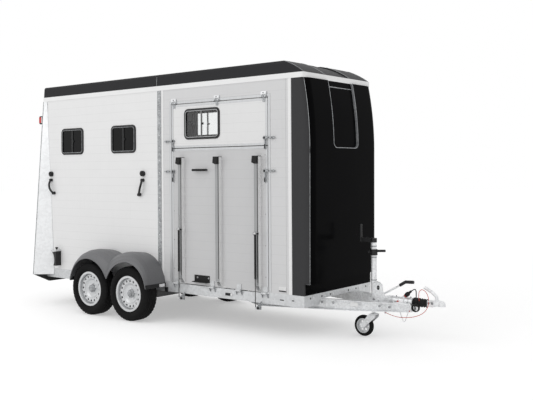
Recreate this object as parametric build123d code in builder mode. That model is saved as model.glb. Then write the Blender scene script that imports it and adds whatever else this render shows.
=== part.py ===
from build123d import *
import os
from math import atan2, cos, hypot, sin, tan

os.makedirs("parts", exist_ok=True)

# A tandem-axle horse trailer with a side ramp, standing on its wheels and its jockey wheel.
# Lengths are in millimetres. X runs forward to the coupling, Y to the left and Z up from the floor.
# The origin is on the floor, on the centreline, at the middle of the overall length.

# Rails on the outside of the ramps, and the rubber feet on their ends
rail_face = 55
rail_depth = 50
foot_depth = 42

# Length, measured from the middle of the tandem axles
axle_to_tail = 1600
axle_to_nose = 2620
axle_to_coupling = 3830
axle_x = (axle_to_tail + rail_depth + foot_depth - axle_to_coupling) / 2
tail_x = axle_x - axle_to_tail
nose_x = axle_x + axle_to_nose
coupling_x = axle_x + axle_to_coupling

# Body shell
half_width = 660
wall = 30
sill_top = 465
wall_top = 2678
rail_height = 55
rail_width = 42
rail_proud = 5
rail_corner = 24
rail_top = wall_top + rail_height
floor_thickness = 18
post_depth = 40
post_inner = 606
header_height = 58

# Body panels along X, measured from the middle of the axles
seam_x = axle_x + 580
seam_width = 60
seam_proud = 3
corner_x = nose_x - 148
opening_rear_x = axle_x + 775
opening_width = 1400
opening_top = 2506
door_gap = 7

# Chassis and drawbar
sill_height = 120
sill_flange = 50
sill_gauge = 5
member_height = 60
member_width = 60
beam_gauge = 6
beam_width = 56
beam_start = (axle_x + 1800, 576)
beam_end = (axle_x + 3500, 70)

# Wheels
tandem_spacing = 687
tyre_radius = 317
tyre_width = 195
tread_width = 130
rim_radius = 190
rim_flange = 207
rim_width = 160
wheel_y = 870
vent_count = 16
vent_radius = 13
vent_circle = 147
hub_bore = 22.4
running_gap = 0.1

# Fenders
fender_outer = 988
fender_skin = 5
fender_half_length = 664
fender_end_z = 398

# Nose shell
nose_bulge = 97
nose_brow = 27
nose_step_z = 585
nose_foot_bulge = 88
nose_shoulder_z = 1950
nose_corner_radius = 90
nose_skin = 30
corner_lap = 21
recess_half = 240
recess_bottom = 1975
recess_depth = 22
recess_radius = 55

# Roof
roof_inset = 4
roof_side_z = 2868
roof_lean = 10
roof_crown = 2905
roof_skin = 16
roof_front_run = 420
roof_brow_z = 2842
roof_edge_radius = 34

# Windows: outer size of the frame, its lap over the wall and how far it stands proud
window_width = 442
window_height = 340
large_width = 532
large_height = 346
window_z = 2131
window_radius = 58
frame_lap = 16
frame_sleeve = 12
frame_proud = 11
pane_thickness = 4

flap_window_x = -227
flap_window_z = 2266

# Ramps and flaps, one pair in the side and one in the rear
ramp_thickness = 42
ramp_hinge_z = 452
hinge_out = 20
ramp_lift = 9
ramp_clearance = 6
door_seam_z = 1998
seam_gap = 8
flap_thickness = 30
flap_hinge_out = 17
rail_top_z = 1888
rail_mitre = 64
rail_gauge = 3
foot_height = 78

# Gas struts of the side ramp
strut_pin_z = 1078
strut_foot_z = 300
strut_standoff = 22
strut_radius = 11
rod_radius = 5
cylinder_length = 476
strut_pin_radius = 5

# Coupling, overrun device and jockey wheel
hitch_z = 410
ball_radius = 25.15
head_radius = 37
head_half = 30
head_rear = axle_x + 3650
housing_rear = axle_x + 3195
housing_front = axle_x + 3492
housing_radius = 40
shaft_radius = 22
jockey_x = axle_x + 3041
jockey_radius = 110
jockey_width = 56
jockey_trail = 120
jockey_tube = 30
jockey_leg = 24


def save(piece, name):
    """Labels a finished piece and writes it as one file."""
    piece.part.label = name
    export_step(piece.part, f"parts/{name}.step")


def wall_plane(side, outer=half_width, thickness=wall):
    """The plane from which a side wall is extruded, towards -Y on both sides."""
    return Plane.XZ.offset(outer - thickness if side < 0 else -outer)


# Chassis: two folded sills, cross members and the corner gussets of the nose
member_stations = (tail_x + member_width / 2, axle_x - 760, axle_x, axle_x + 700, axle_x + 1300,
                   axle_x + 1900, nose_x - member_width / 2)
sill_bottom = sill_top - sill_height
member_z = sill_top - member_height / 2
opening_x = opening_rear_x + opening_width / 2
gusset_reach = 280
rebate_z = ramp_hinge_z

with BuildPart() as chassis_frame:
    with BuildSketch(Plane.YZ.offset(tail_x)):
        for side in (-1, 1):
            with Locations((side * (half_width - sill_flange / 2), sill_top - sill_height / 2)):
                Rectangle(sill_flange, sill_height)
            with Locations((side * (half_width - sill_gauge / 2 - sill_flange / 2), sill_top - sill_height / 2)):
                Rectangle(sill_flange - sill_gauge, sill_height - 2 * sill_gauge, mode=Mode.SUBTRACT)
    extrude(amount=nose_x - tail_x)
    for x in member_stations:
        with Locations((x, 0, member_z)):
            Box(member_width, 2 * (half_width - sill_gauge), member_height)
        with Locations((x, 0, member_z - sill_gauge)):
            Box(member_width - 2 * sill_gauge, 2 * (half_width - sill_flange), member_height, mode=Mode.SUBTRACT)
    for side in (-1, 1):
        with Locations((nose_x - sill_gauge / 2, side * (half_width - gusset_reach / 2), sill_top - sill_height / 2)):
            Box(sill_gauge, gusset_reach, sill_height)
    # Rebates in which the feet of the closed ramps stand
    with Locations((opening_x, -half_width + sill_flange / 2, rebate_z)):
        Box(opening_width, sill_flange + 2, 40, align=(Align.CENTER, Align.CENTER, Align.MIN), mode=Mode.SUBTRACT)
    with Locations((tail_x, 0, rebate_z)):
        Box(2 * (ramp_thickness + ramp_clearance), 2 * post_inner, 40,
            align=(Align.CENTER, Align.CENTER, Align.MIN), mode=Mode.SUBTRACT)
save(chassis_frame, "chassis_frame")

# Floor board on the sills and members, between the walls
floor_start = tail_x + ramp_thickness + ramp_clearance
floor_end = nose_x - nose_skin
with BuildPart() as floor_board:
    with Locations(((floor_start + floor_end) / 2, 0, sill_top + floor_thickness / 2)):
        Box(floor_end - floor_start, 2 * (half_width - wall), floor_thickness)
    with Locations((opening_x, -half_width, sill_top + floor_thickness / 2)):
        Box(opening_width, 2 * (ramp_thickness + ramp_clearance), floor_thickness, mode=Mode.SUBTRACT)
save(floor_board, "floor_board")

# Drawbar: two tapered folded beams that meet beside the overrun device, the plate and the cross member
# between them and a bent wire rest below
beam_length = hypot(beam_end[0] - beam_start[0], beam_end[1] - beam_start[1])
beam_angle = atan2(beam_start[1] - beam_end[1], beam_end[0] - beam_start[0])
beam_top = sill_top - member_height
beam_root_z = 345
beam_belly_z = 290
beam_tip_top = 396
beam_tip_bottom = 318
nose_plate = 190
beam_flat = 260
cross_x = jockey_x + 61
cross_width = 40
cross_bottom = 322


def beam_plane(side):
    """Upright plane along one beam, from its rear end forward, facing the centreline."""
    forward = Vector(cos(beam_angle), -side * sin(beam_angle), 0)
    return Plane(origin=(beam_start[0], side * beam_start[1], 0), x_dir=forward, z_dir=forward.cross(Vector(0, 0, 1)))


with BuildPart() as drawbar:
    for side in (-1, 1):
        plane = beam_plane(side)
        with BuildSketch(plane) as beam_profile:
            with BuildLine():
                Polyline((0, beam_root_z), (150, beam_belly_z), (beam_length - 620, beam_belly_z + 8),
                         (beam_length, beam_tip_bottom), (beam_length, beam_tip_top),
                         (beam_length - beam_flat, beam_tip_top), (beam_length - 650, beam_top),
                         (0, beam_top), close=True)
            make_face()
        extrude(amount=beam_width / 2, both=True)
        pocket_start = -side * (beam_width / 2 - beam_gauge)
        with BuildSketch(plane.offset(-pocket_start)):
            add(beam_profile.sketch_local)
            offset(amount=-beam_gauge, kind=Kind.INTERSECTION, mode=Mode.REPLACE)
        extrude(amount=-side * beam_width, mode=Mode.SUBTRACT)
    with Locations((beam_end[0] - nose_plate / 2, 0, beam_tip_bottom + beam_gauge / 2)):
        Box(nose_plate, 2 * beam_end[1], beam_gauge)
    with Locations((cross_x, 0, (cross_bottom + beam_tip_top) / 2)):
        Box(cross_width, 2 * (beam_end[1] + (beam_end[0] - cross_x) * tan(beam_angle) - beam_width / 2 - 1),
            beam_tip_top - cross_bottom)
    with BuildLine(mode=Mode.PRIVATE) as rest:
        FilletPolyline((axle_x + 3364, -60, beam_tip_bottom + 3), (axle_x + 3405, -60, 214), (axle_x + 3425, -60, 214),
                       (axle_x + 3464, -60, beam_tip_bottom + 3), radius=12)
    with BuildSketch(Plane(origin=rest.line @ 0, z_dir=rest.line % 0)):
        Circle(5)
    sweep(path=rest.line)
save(drawbar, "drawbar")

# Axles: rubber torsion tubes under the sills, with trailing arms, brake drums and stub axles
arm_trail = 130
tube_side = 2 * 44
tube_half = 640
arm_thickness = 40
drum_radius = 125
drum_width = 60
drum_start = 694
stub_end = wheel_y + 14
tube_z = sill_bottom - tube_side / 2

with BuildPart() as axles:
    for station in (-1, 1):
        wheel_x = axle_x + station * tandem_spacing / 2
        with Locations((wheel_x + arm_trail, 0, tube_z)):
            Box(tube_side, 2 * tube_half, tube_side)
        for side in (-1, 1):
            arm_start = tube_half if side > 0 else -tube_half - arm_thickness
            with BuildSketch(Plane.XZ.offset(-arm_start - arm_thickness)):
                with BuildLine():
                    Polyline((wheel_x + arm_trail + 40, tube_z - 38), (wheel_x + arm_trail + 40, tube_z + 38),
                             (wheel_x - 28, tyre_radius + 25), (wheel_x - 28, tyre_radius - 30), close=True)
                make_face()
            extrude(amount=arm_thickness)
            with Locations(Plane((wheel_x, side * tube_half, tyre_radius), z_dir=(0, side, 0))):
                Cylinder(hub_bore - running_gap, stub_end - tube_half, align=(Align.CENTER, Align.CENTER, Align.MIN))
            with Locations(Plane((wheel_x, side * drum_start, tyre_radius), z_dir=(0, side, 0))):
                Cylinder(drum_radius, drum_width, align=(Align.CENTER, Align.CENTER, Align.MIN))
save(axles, "axles")

# Road wheels: a tyre and a pressed steel rim at each corner
bead_gap = 0.5
corners = (("front_right", 1, -1), ("front_left", 1, 1), ("rear_right", -1, -1), ("rear_left", -1, 1))

for corner, station, side in corners:
    wheel_x = axle_x + station * tandem_spacing / 2
    centre = (wheel_x, side * wheel_y, tyre_radius)
    # Local x runs outward along the axle and local y up the radius
    section = Plane(origin=centre, x_dir=(0, side, 0), z_dir=(side, 0, 0))
    spindle = Axis(centre, (0, 1, 0))

    with BuildPart() as tyre:
        with BuildSketch(section):
            with BuildLine():
                half = tyre_width / 2
                seat = rim_radius + bead_gap
                bead = rim_width / 2 - 5 - bead_gap
                Polyline((tread_width / 2 + 12, tyre_radius - 5), (tread_width / 2 - 8, tyre_radius),
                         (8 - tread_width / 2, tyre_radius), (-tread_width / 2 - 12, tyre_radius - 5))
                ThreePointArc((-tread_width / 2 - 12, tyre_radius - 5), (4 - half, tyre_radius - 24), (-half, 264))
                ThreePointArc((-half, 264), (2 - half, 236), (-bead - 3, rim_flange + 4))
                Polyline((-bead - 3, rim_flange + 4), (-bead, rim_flange), (-bead, seat), (bead, seat),
                         (bead, rim_flange), (bead + 3, rim_flange + 4))
                ThreePointArc((bead + 3, rim_flange + 4), (half - 2, 236), (half, 264))
                ThreePointArc((half, 264), (half - 4, tyre_radius - 24), (tread_width / 2 + 12, tyre_radius - 5))
            make_face()
        revolve(axis=spindle)
    save(tyre, f"tyre_{corner}")

    with BuildPart() as rim:
        with BuildSketch(section):
            with BuildLine():
                edge = rim_width / 2
                Polyline((-edge, rim_flange), (-edge, rim_radius - 8), (edge, rim_radius - 8), (edge, rim_flange),
                         (edge - 5, rim_flange), (edge - 5, rim_radius), (5 - edge, rim_radius),
                         (5 - edge, rim_flange), close=True)
            make_face()
            with BuildLine():
                Polyline((26, rim_radius - 6), (48, 170), (52, 152), (46, 124), (26, 98), (22, 60), (22, hub_bore),
                         (14, hub_bore), (14, 62), (18, 102), (38, 128), (44, 152), (40, 166), (18, rim_radius - 6),
                         close=True)
            make_face()
        revolve(axis=spindle)
        with Locations(Plane((wheel_x, side * (wheel_y + 20), tyre_radius), z_dir=(0, side, 0))):
            Cylinder(36, 30, align=(Align.CENTER, Align.CENTER, Align.MIN))
        with BuildSketch(Plane((wheel_x, side * (wheel_y + 80), tyre_radius), x_dir=(0, 0, 1), z_dir=(0, side, 0))):
            with PolarLocations(vent_circle, vent_count):
                Circle(vent_radius)
        extrude(amount=-60, mode=Mode.SUBTRACT)
    save(rim, f"rim_{corner}")

# Fenders: a double arch each side, lofted from the lip over the tyres to the crown and in to the wall
fender_reach = fender_outer - half_width
fender_sections = (
    # y, x of the arch tops, z of the arch tops, z of the valley between them
    (fender_outer, tandem_spacing / 2, 694, 474),
    (half_width + 0.963 * fender_reach, tandem_spacing / 2, 722, 540),
    (half_width + 0.860 * fender_reach, 331, 760, 640),
    (half_width + 0.671 * fender_reach, 313, 786, 704),
    (half_width + 0.427 * fender_reach, 300, 792, 727),
    (half_width, 300, 776, 712),
)


def fender_block(inset):
    """The space under the double arch on the right side, drawn in by the inset."""
    with BuildPart() as block:
        rows = list(fender_sections)
        if inset:
            # The space runs out through the lip and in through the wall side
            rows = [(fender_outer + 40, *rows[0][1:])] + rows + [(half_width - 20, *rows[-1][1:])]
        for y, top_x, top_z, valley_z in rows:
            with BuildSketch(Plane(origin=(axle_x, inset - y, 0), x_dir=(1, 0, 0), z_dir=(0, -1, 0))):
                with BuildLine():
                    end = fender_half_length - inset
                    low_z = fender_end_z - inset
                    Polyline((-end, low_z + 10), (-end, low_z), (end, low_z), (end, low_z + 10))
                    for way in (-1, 1):
                        top = (way * top_x, top_z - inset)
                        TangentArc(top, (way * end, low_z + 10), tangent=(way, 0))
                        TangentArc(top, (0, valley_z - inset), tangent=(-way, 0))
                make_face()
        loft(ruled=True)
    return block.part


end_plate = 46
with BuildPart() as right_fender:
    add(fender_block(0))
    add(fender_block(fender_skin), mode=Mode.SUBTRACT)
    for way in (-1, 1):
        with Locations((axle_x + way * fender_half_length, -(half_width + fender_outer) / 2,
                        fender_end_z + end_plate / 2)):
            Box(2 * fender_skin, fender_outer - half_width, end_plate)
    with Locations((seam_x, -half_width, 600)):
        Box(seam_width + 2, 2 * seam_proud + 2, 600, mode=Mode.SUBTRACT)

with BuildPart() as fenders:
    add(right_fender.part)
    mirror(about=Plane.XZ)
save(fenders, "fenders")

# Rear side walls, with their window cut-outs
rear_windows = (
    # side, x of the centre, z of the centre, width, height
    (-1, axle_x - 1002, window_z, window_width, window_height),
    (-1, axle_x - 36, window_z, window_width, window_height),
    (1, axle_x - 1002, window_z, window_width, window_height),
    (1, axle_x + 165, 2365, large_width, large_height),
)
rear_wall_start = tail_x + post_depth
rear_wall_end = seam_x - seam_width / 2

with BuildPart() as rear_walls:
    for side in (-1, 1):
        with BuildSketch(wall_plane(side)):
            with Locations(((rear_wall_start + rear_wall_end) / 2, (sill_top + wall_top) / 2)):
                Rectangle(rear_wall_end - rear_wall_start, wall_top - sill_top)
            for _, x, z, width, height in [row for row in rear_windows if row[0] == side]:
                with Locations((x, z)):
                    RectangleRounded(width - 2 * frame_lap, height - 2 * frame_lap, window_radius - frame_lap,
                                     mode=Mode.SUBTRACT)
        extrude(amount=wall)
save(rear_walls, "rear_walls")

# Front right wall, open for the side ramp and its upper flap
front_wall_start = seam_x + seam_width / 2
front_wall_length = corner_x - front_wall_start

with BuildPart() as front_wall_right:
    with BuildSketch(wall_plane(-1)):
        with Locations(((front_wall_start + corner_x) / 2, (sill_top + wall_top) / 2)):
            Rectangle(front_wall_length, wall_top - sill_top)
        with Locations((opening_x, (sill_top + opening_top) / 2)):
            Rectangle(opening_width, opening_top - sill_top, mode=Mode.SUBTRACT)
    extrude(amount=wall)
save(front_wall_right, "front_wall_right")

# Front left wall, open for the groom's door
groom_x = axle_x + 1950
groom_width = 640
groom_bottom = 540
groom_height = 1720

with BuildPart() as front_wall_left:
    with BuildSketch(wall_plane(1)):
        with Locations(((front_wall_start + corner_x) / 2, (sill_top + wall_top) / 2)):
            Rectangle(front_wall_length, wall_top - sill_top)
        with Locations((groom_x, groom_bottom + groom_height / 2)):
            RectangleRounded(groom_width, groom_height, 60, mode=Mode.SUBTRACT)
    extrude(amount=wall)
save(front_wall_left, "front_wall_left")

# Galvanised posts at the seam of the front and rear sections
with BuildPart() as seam_posts:
    for side in (-1, 1):
        with Locations((seam_x, side * (half_width + seam_proud - (wall + seam_proud) / 2), (sill_top + wall_top) / 2)):
            Box(seam_width, wall + seam_proud, wall_top - sill_top)
save(seam_posts, "seam_posts")


# Nose: one curved side profile, rounded down its corners, split into the shell and the corner strips
def nose_body(inset):
    """The nose as a closed body, drawn in by the inset at its front and sides."""
    side_y = half_width - inset
    with BuildPart() as body:
        with BuildSketch(Plane.XZ):
            with BuildLine():
                shoulder = (nose_x + nose_bulge - inset, nose_shoulder_z)
                step = (nose_x + nose_foot_bulge - inset, nose_step_z)
                Polyline(step, (nose_x - inset, nose_step_z), (nose_x - inset, sill_top), (corner_x, sill_top),
                         (corner_x, wall_top), (nose_x + nose_brow - inset, wall_top))
                lean = Line(step, shoulder)
                TangentArc(shoulder, (nose_x + nose_brow - inset, wall_top), tangent=lean % 1)
            make_face()
        extrude(amount=side_y, both=True)
        corners = [e for e in body.edges() if abs(abs(e.center().Y) - side_y) < 1
                   and e.center().X > nose_x + nose_brow - inset and e.center().Z > nose_step_z + 1]
        fillet(corners, radius=nose_corner_radius - inset)
    return body.part


split_y = half_width - corner_lap

with BuildPart() as nose_wall:
    add(nose_body(0))
    add(nose_body(nose_skin), mode=Mode.SUBTRACT)

with BuildPart() as nose_recess:
    with BuildSketch(Plane.YZ.offset(nose_x - nose_skin)):
        with Locations((0, recess_bottom + 500)):
            RectangleRounded(2 * recess_half, 1000, recess_radius)
    extrude(amount=2 * nose_bulge)
    add(nose_body(recess_depth), mode=Mode.SUBTRACT)

with BuildPart() as nose_shell:
    add(nose_wall.part)
    with Locations((nose_x, 0, rail_top / 2)):
        Box(600, 2 * split_y, rail_top, mode=Mode.INTERSECT)
    add(nose_recess.part, mode=Mode.SUBTRACT)
save(nose_shell, "nose_shell")

with BuildPart() as nose_corners:
    add(nose_wall.part)
    with Locations((nose_x, 0, rail_top / 2)):
        Box(600, 2 * split_y, 2 * rail_top, mode=Mode.SUBTRACT)
save(nose_corners, "nose_corners")

# Cant rail: a white aluminium ring on top of the walls
with BuildPart() as cant_rail:
    with BuildSketch(Plane.XY.offset(wall_top)):
        with BuildLine():
            rail_y = half_width + rail_proud
            rail_front = nose_x + rail_proud
            Polyline((rail_front - rail_corner, rail_y), (tail_x, rail_y), (tail_x, -rail_y),
                     (rail_front - rail_corner, -rail_y))
            JernArc((rail_front - rail_corner, -rail_y), (1, 0), rail_corner, 90)
            Line((rail_front, rail_corner - rail_y), (rail_front, rail_y - rail_corner))
            JernArc((rail_front, rail_y - rail_corner), (0, 1), rail_corner, 90)
        make_face()
        with Locations(((tail_x + nose_x) / 2, 0)):
            Rectangle(nose_x - tail_x - 2 * rail_width, 2 * (half_width - rail_width), mode=Mode.SUBTRACT)
    extrude(amount=rail_height)
save(cant_rail, "cant_rail")


# Roof: a domed section met with a side profile that slopes down to the nose
def roof_body(inset):
    """The roof as a closed body, drawn in by the inset at its top and sides."""
    base_y = half_width - roof_inset - inset
    edge_y = base_y - roof_lean
    edge_z = roof_side_z - inset
    crown_z = roof_crown - inset
    with BuildPart() as body:
        with BuildSketch(Plane.YZ.offset(tail_x + inset)):
            with BuildLine():
                Polyline((-edge_y, edge_z), (-base_y, rail_top), (base_y, rail_top), (edge_y, edge_z))
                ThreePointArc((edge_y, edge_z), (0, crown_z), (-edge_y, edge_z))
            make_face()
        extrude(amount=nose_x - roof_inset - inset - tail_x - inset)
        ridge = [e for e in body.edges().filter_by(Axis.X) if e.center().Z > rail_top + 5]
        fillet(ridge, radius=roof_edge_radius - inset)
        with BuildSketch(Plane.XZ):
            with BuildLine():
                foot = (nose_x - roof_inset - inset, rail_top)
                brow = (nose_x - roof_front_run, crown_z)
                Polyline(brow, (tail_x, crown_z), (tail_x, rail_top), foot)
                ThreePointArc(foot, (nose_x - 190 - inset, roof_brow_z - inset), brow)
            make_face()
        extrude(amount=half_width, both=True, mode=Mode.INTERSECT)
    return body.part


with BuildPart() as roof_recess:
    with Locations((nose_x - roof_front_run / 2, 0, rail_top)):
        Box(roof_front_run, 2 * recess_half, 400, align=(Align.CENTER, Align.CENTER, Align.MIN))
    add(roof_body(recess_depth / 2), mode=Mode.SUBTRACT)

with BuildPart() as roof:
    add(roof_body(0))
    add(roof_body(roof_skin), mode=Mode.SUBTRACT)
    add(roof_recess.part, mode=Mode.SUBTRACT)
save(roof, "roof")

# Rear portal: posts that flare out to the fenders at the foot, and a header
wedge_foot_z = 386
wedge_foot_y = 854
wedge_foot_run = 207
wedge_top_y = 668
wedge_top_run = 77

with BuildPart() as rear_portal:
    for side in (-1, 1):
        for z, flare, run in ((wedge_foot_z, wedge_foot_y, wedge_foot_run), (wall_top, wedge_top_y, wedge_top_run)):
            with BuildSketch(Plane.XY.offset(z)):
                with BuildLine():
                    Polyline((tail_x, side * half_width), (tail_x, side * flare), (tail_x + 16, side * flare),
                             (tail_x + run, side * half_width), close=True)
                make_face()
        loft(ruled=True)
        with Locations((tail_x + post_depth / 2, side * (post_inner + half_width) / 2, (sill_top + wall_top) / 2)):
            Box(post_depth, half_width - post_inner, wall_top - sill_top)
    with Locations((tail_x + post_depth / 2, 0, wall_top - header_height / 2)):
        Box(post_depth, 2 * post_inner, header_height)
save(rear_portal, "rear_portal")

# Rear bumper: a black board with cut-off corners below the chassis, with recesses for the lamps
bumper_x = tail_x + 20
bumper_thickness = 36
bumper_bottom = 280
bumper_chamfer_y = 620
lamp_y = 490
lamp_width = 220
lamp_height = 74
lamp_z = 340
lamp_seat = 8

with BuildPart() as rear_bumper:
    with BuildSketch(Plane.YZ.offset(bumper_x)):
        with BuildLine():
            Polyline((-wedge_foot_y, wedge_foot_z - 1), (-bumper_chamfer_y, bumper_bottom),
                     (bumper_chamfer_y, bumper_bottom), (wedge_foot_y, wedge_foot_z - 1),
                     (half_width, wedge_foot_z - 1), (half_width - sill_flange, member_z - member_height / 2),
                     (sill_flange - half_width, member_z - member_height / 2), (-half_width, wedge_foot_z - 1),
                     close=True)
        make_face()
    extrude(amount=bumper_thickness)
    for side in (-1, 1):
        with Locations((bumper_x + lamp_seat / 2, side * lamp_y, lamp_z)):
            Box(lamp_seat, lamp_width, lamp_height, mode=Mode.SUBTRACT)
        with Locations((bumper_x, side * (half_width - sill_flange / 2), sill_bottom - 1)):
            Box(2 * bumper_thickness + 2, sill_flange + 2, 200,
                align=(Align.CENTER, Align.CENTER, Align.MIN), mode=Mode.SUBTRACT)
save(rear_bumper, "rear_bumper")

# Lamps: red ones in the bumper and high on the posts, white ones at the fronts of the fenders
lamp_stand = 14
high_lamp_z = 2435
high_lamp_y = 700
marker_x = axle_x + fender_half_length + fender_skin
marker_depth = 16
lamp_reach = 60

with BuildPart() as lamps:
    for side in (-1, 1):
        with Locations((bumper_x - lamp_stand, side * lamp_y, lamp_z)):
            Box(lamp_stand + lamp_seat, lamp_width - 2, lamp_height - 2, align=(Align.MIN, Align.CENTER, Align.CENTER))
        with BuildSketch(Plane.YZ.offset(tail_x - lamp_reach)):
            with Locations((side * (high_lamp_y - 34), high_lamp_z)):
                RectangleRounded(44, 110, 14)
        extrude(amount=lamp_reach)
        with Locations((marker_x, side * (half_width + 70), fender_end_z + end_plate / 2)):
            Box(marker_depth, 72, 34, align=(Align.MIN, Align.CENTER, Align.CENTER))
        with Locations((axle_x + 1617, side * (half_width + 4), sill_bottom + 50)):
            Box(70, 8, 28)
save(lamps, "lamps")


# Windows: black rounded frames that lap over the wall, a sleeve through it and two sliding panes
def window_frame(plane, width, height, depth):
    """A frame on the outer face of a wall, with its sleeve and the bar where the two panes meet."""
    clear = frame_lap + frame_sleeve
    with BuildPart() as piece:
        with BuildSketch(plane):
            RectangleRounded(width, height, window_radius)
        extrude(amount=frame_proud)
        outer_face = piece.faces().sort_by(Axis(plane.origin, plane.z_dir))[-1]
        chamfer(outer_face.edges(), length=5)
        with BuildSketch(plane):
            RectangleRounded(width - 2 * frame_lap - 1, height - 2 * frame_lap - 1, window_radius - frame_lap)
        extrude(amount=-depth)
        with BuildSketch(plane.offset(frame_proud)):
            RectangleRounded(width - 2 * clear, height - 2 * clear, window_radius - clear)
        extrude(amount=-frame_proud - depth, mode=Mode.SUBTRACT)
        with BuildSketch(plane.offset(frame_proud - 3)):
            Rectangle(16, height - 2 * clear)
        extrude(amount=3 - frame_proud)
    return piece.part


def window_pane(plane, width, height):
    """The glass behind the bar, let into the sleeve."""
    clear = frame_lap + frame_sleeve
    with BuildPart() as piece:
        with BuildSketch(plane):
            RectangleRounded(width - 2 * clear, height - 2 * clear, window_radius - clear)
        extrude(amount=-pane_thickness)
    return piece.part


def wall_window_plane(side, x, z):
    """The plane on the outer face of a side wall, facing outward, centred on a window."""
    return Plane(origin=(x, side * half_width, z), x_dir=(-side, 0, 0), z_dir=(0, side, 0))


with BuildPart() as window_frames:
    for side, x, z, width, height in rear_windows:
        add(window_frame(wall_window_plane(side, x, z), width, height, wall))
save(window_frames, "window_frames")

with BuildPart() as window_panes:
    for side, x, z, width, height in rear_windows:
        add(window_pane(wall_window_plane(side, x, z), width, height))
save(window_panes, "window_panes")

# Door buffers, bowed grab handles and wheel chocks on the rear side walls
knob_z = 1712
knob_stations = ((axle_x - 1433, 1), (axle_x + 308, -1))
handle_below = 80
handle_drop = 172
handle_slant = 56
handle_bow = 52
handle_radius = 13
chock_x = axle_x - 1298
chock_bottom = 512
chock_top = 720
chock_width = 84
chock_tip = 62

with BuildPart() as wall_fittings:
    for side in (-1, 1):
        for x, bend in knob_stations:
            with Locations(Plane((x, side * half_width, knob_z), z_dir=(0, side, 0))):
                Cylinder(33, 30, align=(Align.CENTER, Align.CENTER, Align.MIN))
            top = Vector(x, side * (half_width + 24), knob_z - handle_below)
            low = Vector(x + handle_slant * bend, side * (half_width + 24), knob_z - handle_below - handle_drop)
            middle = Vector(x + 0.2 * handle_slant * bend, side * (half_width + handle_bow),
                            knob_z - handle_below - 0.6 * handle_drop)
            with BuildLine(mode=Mode.PRIVATE) as bow:
                ThreePointArc(top, middle, low)
            with BuildSketch(Plane(origin=top, z_dir=bow.line % 0)):
                Circle(handle_radius)
            sweep(path=bow.line)
            for end in (top, low):
                with Locations(Plane((end.X, side * half_width, end.Z), z_dir=(0, side, 0))):
                    Cylinder(20, 34, align=(Align.CENTER, Align.CENTER, Align.MIN))
    for side in (-1, 1):
        with BuildSketch(Plane.XZ.offset(half_width if side < 0 else -half_width - chock_width)):
            with BuildLine():
                Polyline((chock_x - chock_tip, chock_top - 10), (chock_x + 44, chock_top), (chock_x + 44, chock_bottom),
                         (chock_x - 10, chock_bottom))
                ThreePointArc((chock_x - 10, chock_bottom), (chock_x + 2, chock_bottom + 120),
                              (chock_x - chock_tip, chock_top - 10))
            make_face()
        extrude(amount=chock_width)
save(wall_fittings, "wall_fittings")

# Inside: the stall post, the breast and rump bars, and the padded partition that hangs between
post_x = axle_x + 560
post_radius = 24
post_top = 2460
bar_radius = 20
breast_bar_z = 1150
front_bar_x = axle_x + 2300
partition_front = post_x - post_radius - 12
partition_rear = tail_x + 380
partition_bottom = 900
partition_top = 1760
guard_top = 2360
guard_length = 560
partition_half = 24

with BuildPart() as stall_bars:
    with Locations((post_x, 0, sill_top + floor_thickness)):
        Cylinder(post_radius, post_top - sill_top - floor_thickness,
                 align=(Align.CENTER, Align.CENTER, Align.MIN))
    for x in (post_x, front_bar_x):
        with Locations(Plane((x, 0, breast_bar_z), z_dir=(0, 1, 0))):
            Cylinder(bar_radius, 2 * (half_width - wall))
    with Locations(Plane((partition_front, 0, 1500), z_dir=(1, 0, 0))):
        Cylinder(8, post_x - partition_front, align=(Align.CENTER, Align.CENTER, Align.MIN))
save(stall_bars, "stall_bars")

with BuildPart() as partition:
    with BuildSketch(Plane.XZ.offset(-partition_half)) as partition_outline:
        with Locations(((partition_front + partition_rear) / 2, (partition_bottom + partition_top) / 2)):
            RectangleRounded(partition_front - partition_rear, partition_top - partition_bottom, 120)
        with Locations((partition_front - guard_length / 2, (partition_bottom + guard_top) / 2)):
            RectangleRounded(guard_length, guard_top - partition_bottom, 120)
    extrude(amount=2 * partition_half)
save(partition, "partition")

# Doors. Each opening has a ramp hinged at the foot and a flap hinged at the head, on one plane each:
# local x runs along the opening, local y up and local z outward, with the hinge line at y = z = 0
panel_face = -hinge_out
flap_axis_gap = 13
flap_face = -flap_hinge_out
ramp_length = door_seam_z - seam_gap / 2 - ramp_hinge_z
rail_top_u = rail_top_z - ramp_hinge_z
rail_outer = panel_face + rail_depth
strap_width = 60
strap_length = 70
strap_thickness = 8
knuckle_radius = 13
hinge_rod = 6
hinge_bore = hinge_rod + running_gap
lug_thickness = 6
lug_gap = 3
leaf_width = 64
leaf_height = 50
leaf_thickness = 6
flap_knuckle = 10
flap_pin = 4
latch_thickness = 10
latch_reach = 150
lever_length = 120

door_sets = (
    # name, origin of the opening at its face, along, outward, panel width, z of the flap's top,
    # places along the width of: rails, straps, flap hinges; handle place
    ("side", (opening_x, -half_width), (1, 0, 0), (0, -1, 0), opening_width - 2 * door_gap, opening_top - door_gap,
     (-525, 33, 575), (-620, -80, 300, 650), (-650, 0, 650), -235),
    ("rear", (tail_x, 0), (0, -1, 0), (-1, 0, 0), 2 * post_inner - 2 * door_gap, wall_top - header_height - door_gap,
     (-420, 0, 420), (-550, -200, 200, 550), (-500, 0, 500), -210),
)


def hinge_plane(place, along, outward, stand, z):
    """The plane of a hinge line that stands off the face of an opening."""
    origin = (place[0] + outward[0] * stand, place[1] + outward[1] * stand, z)
    return Plane(origin=origin, x_dir=along, z_dir=outward)


def profile_plane(plane, x):
    """A plane across a hinge line at one place along it: local x runs up and local y outward."""
    return Plane(origin=plane.origin + plane.x_dir * x, x_dir=plane.y_dir, z_dir=plane.x_dir)


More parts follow.
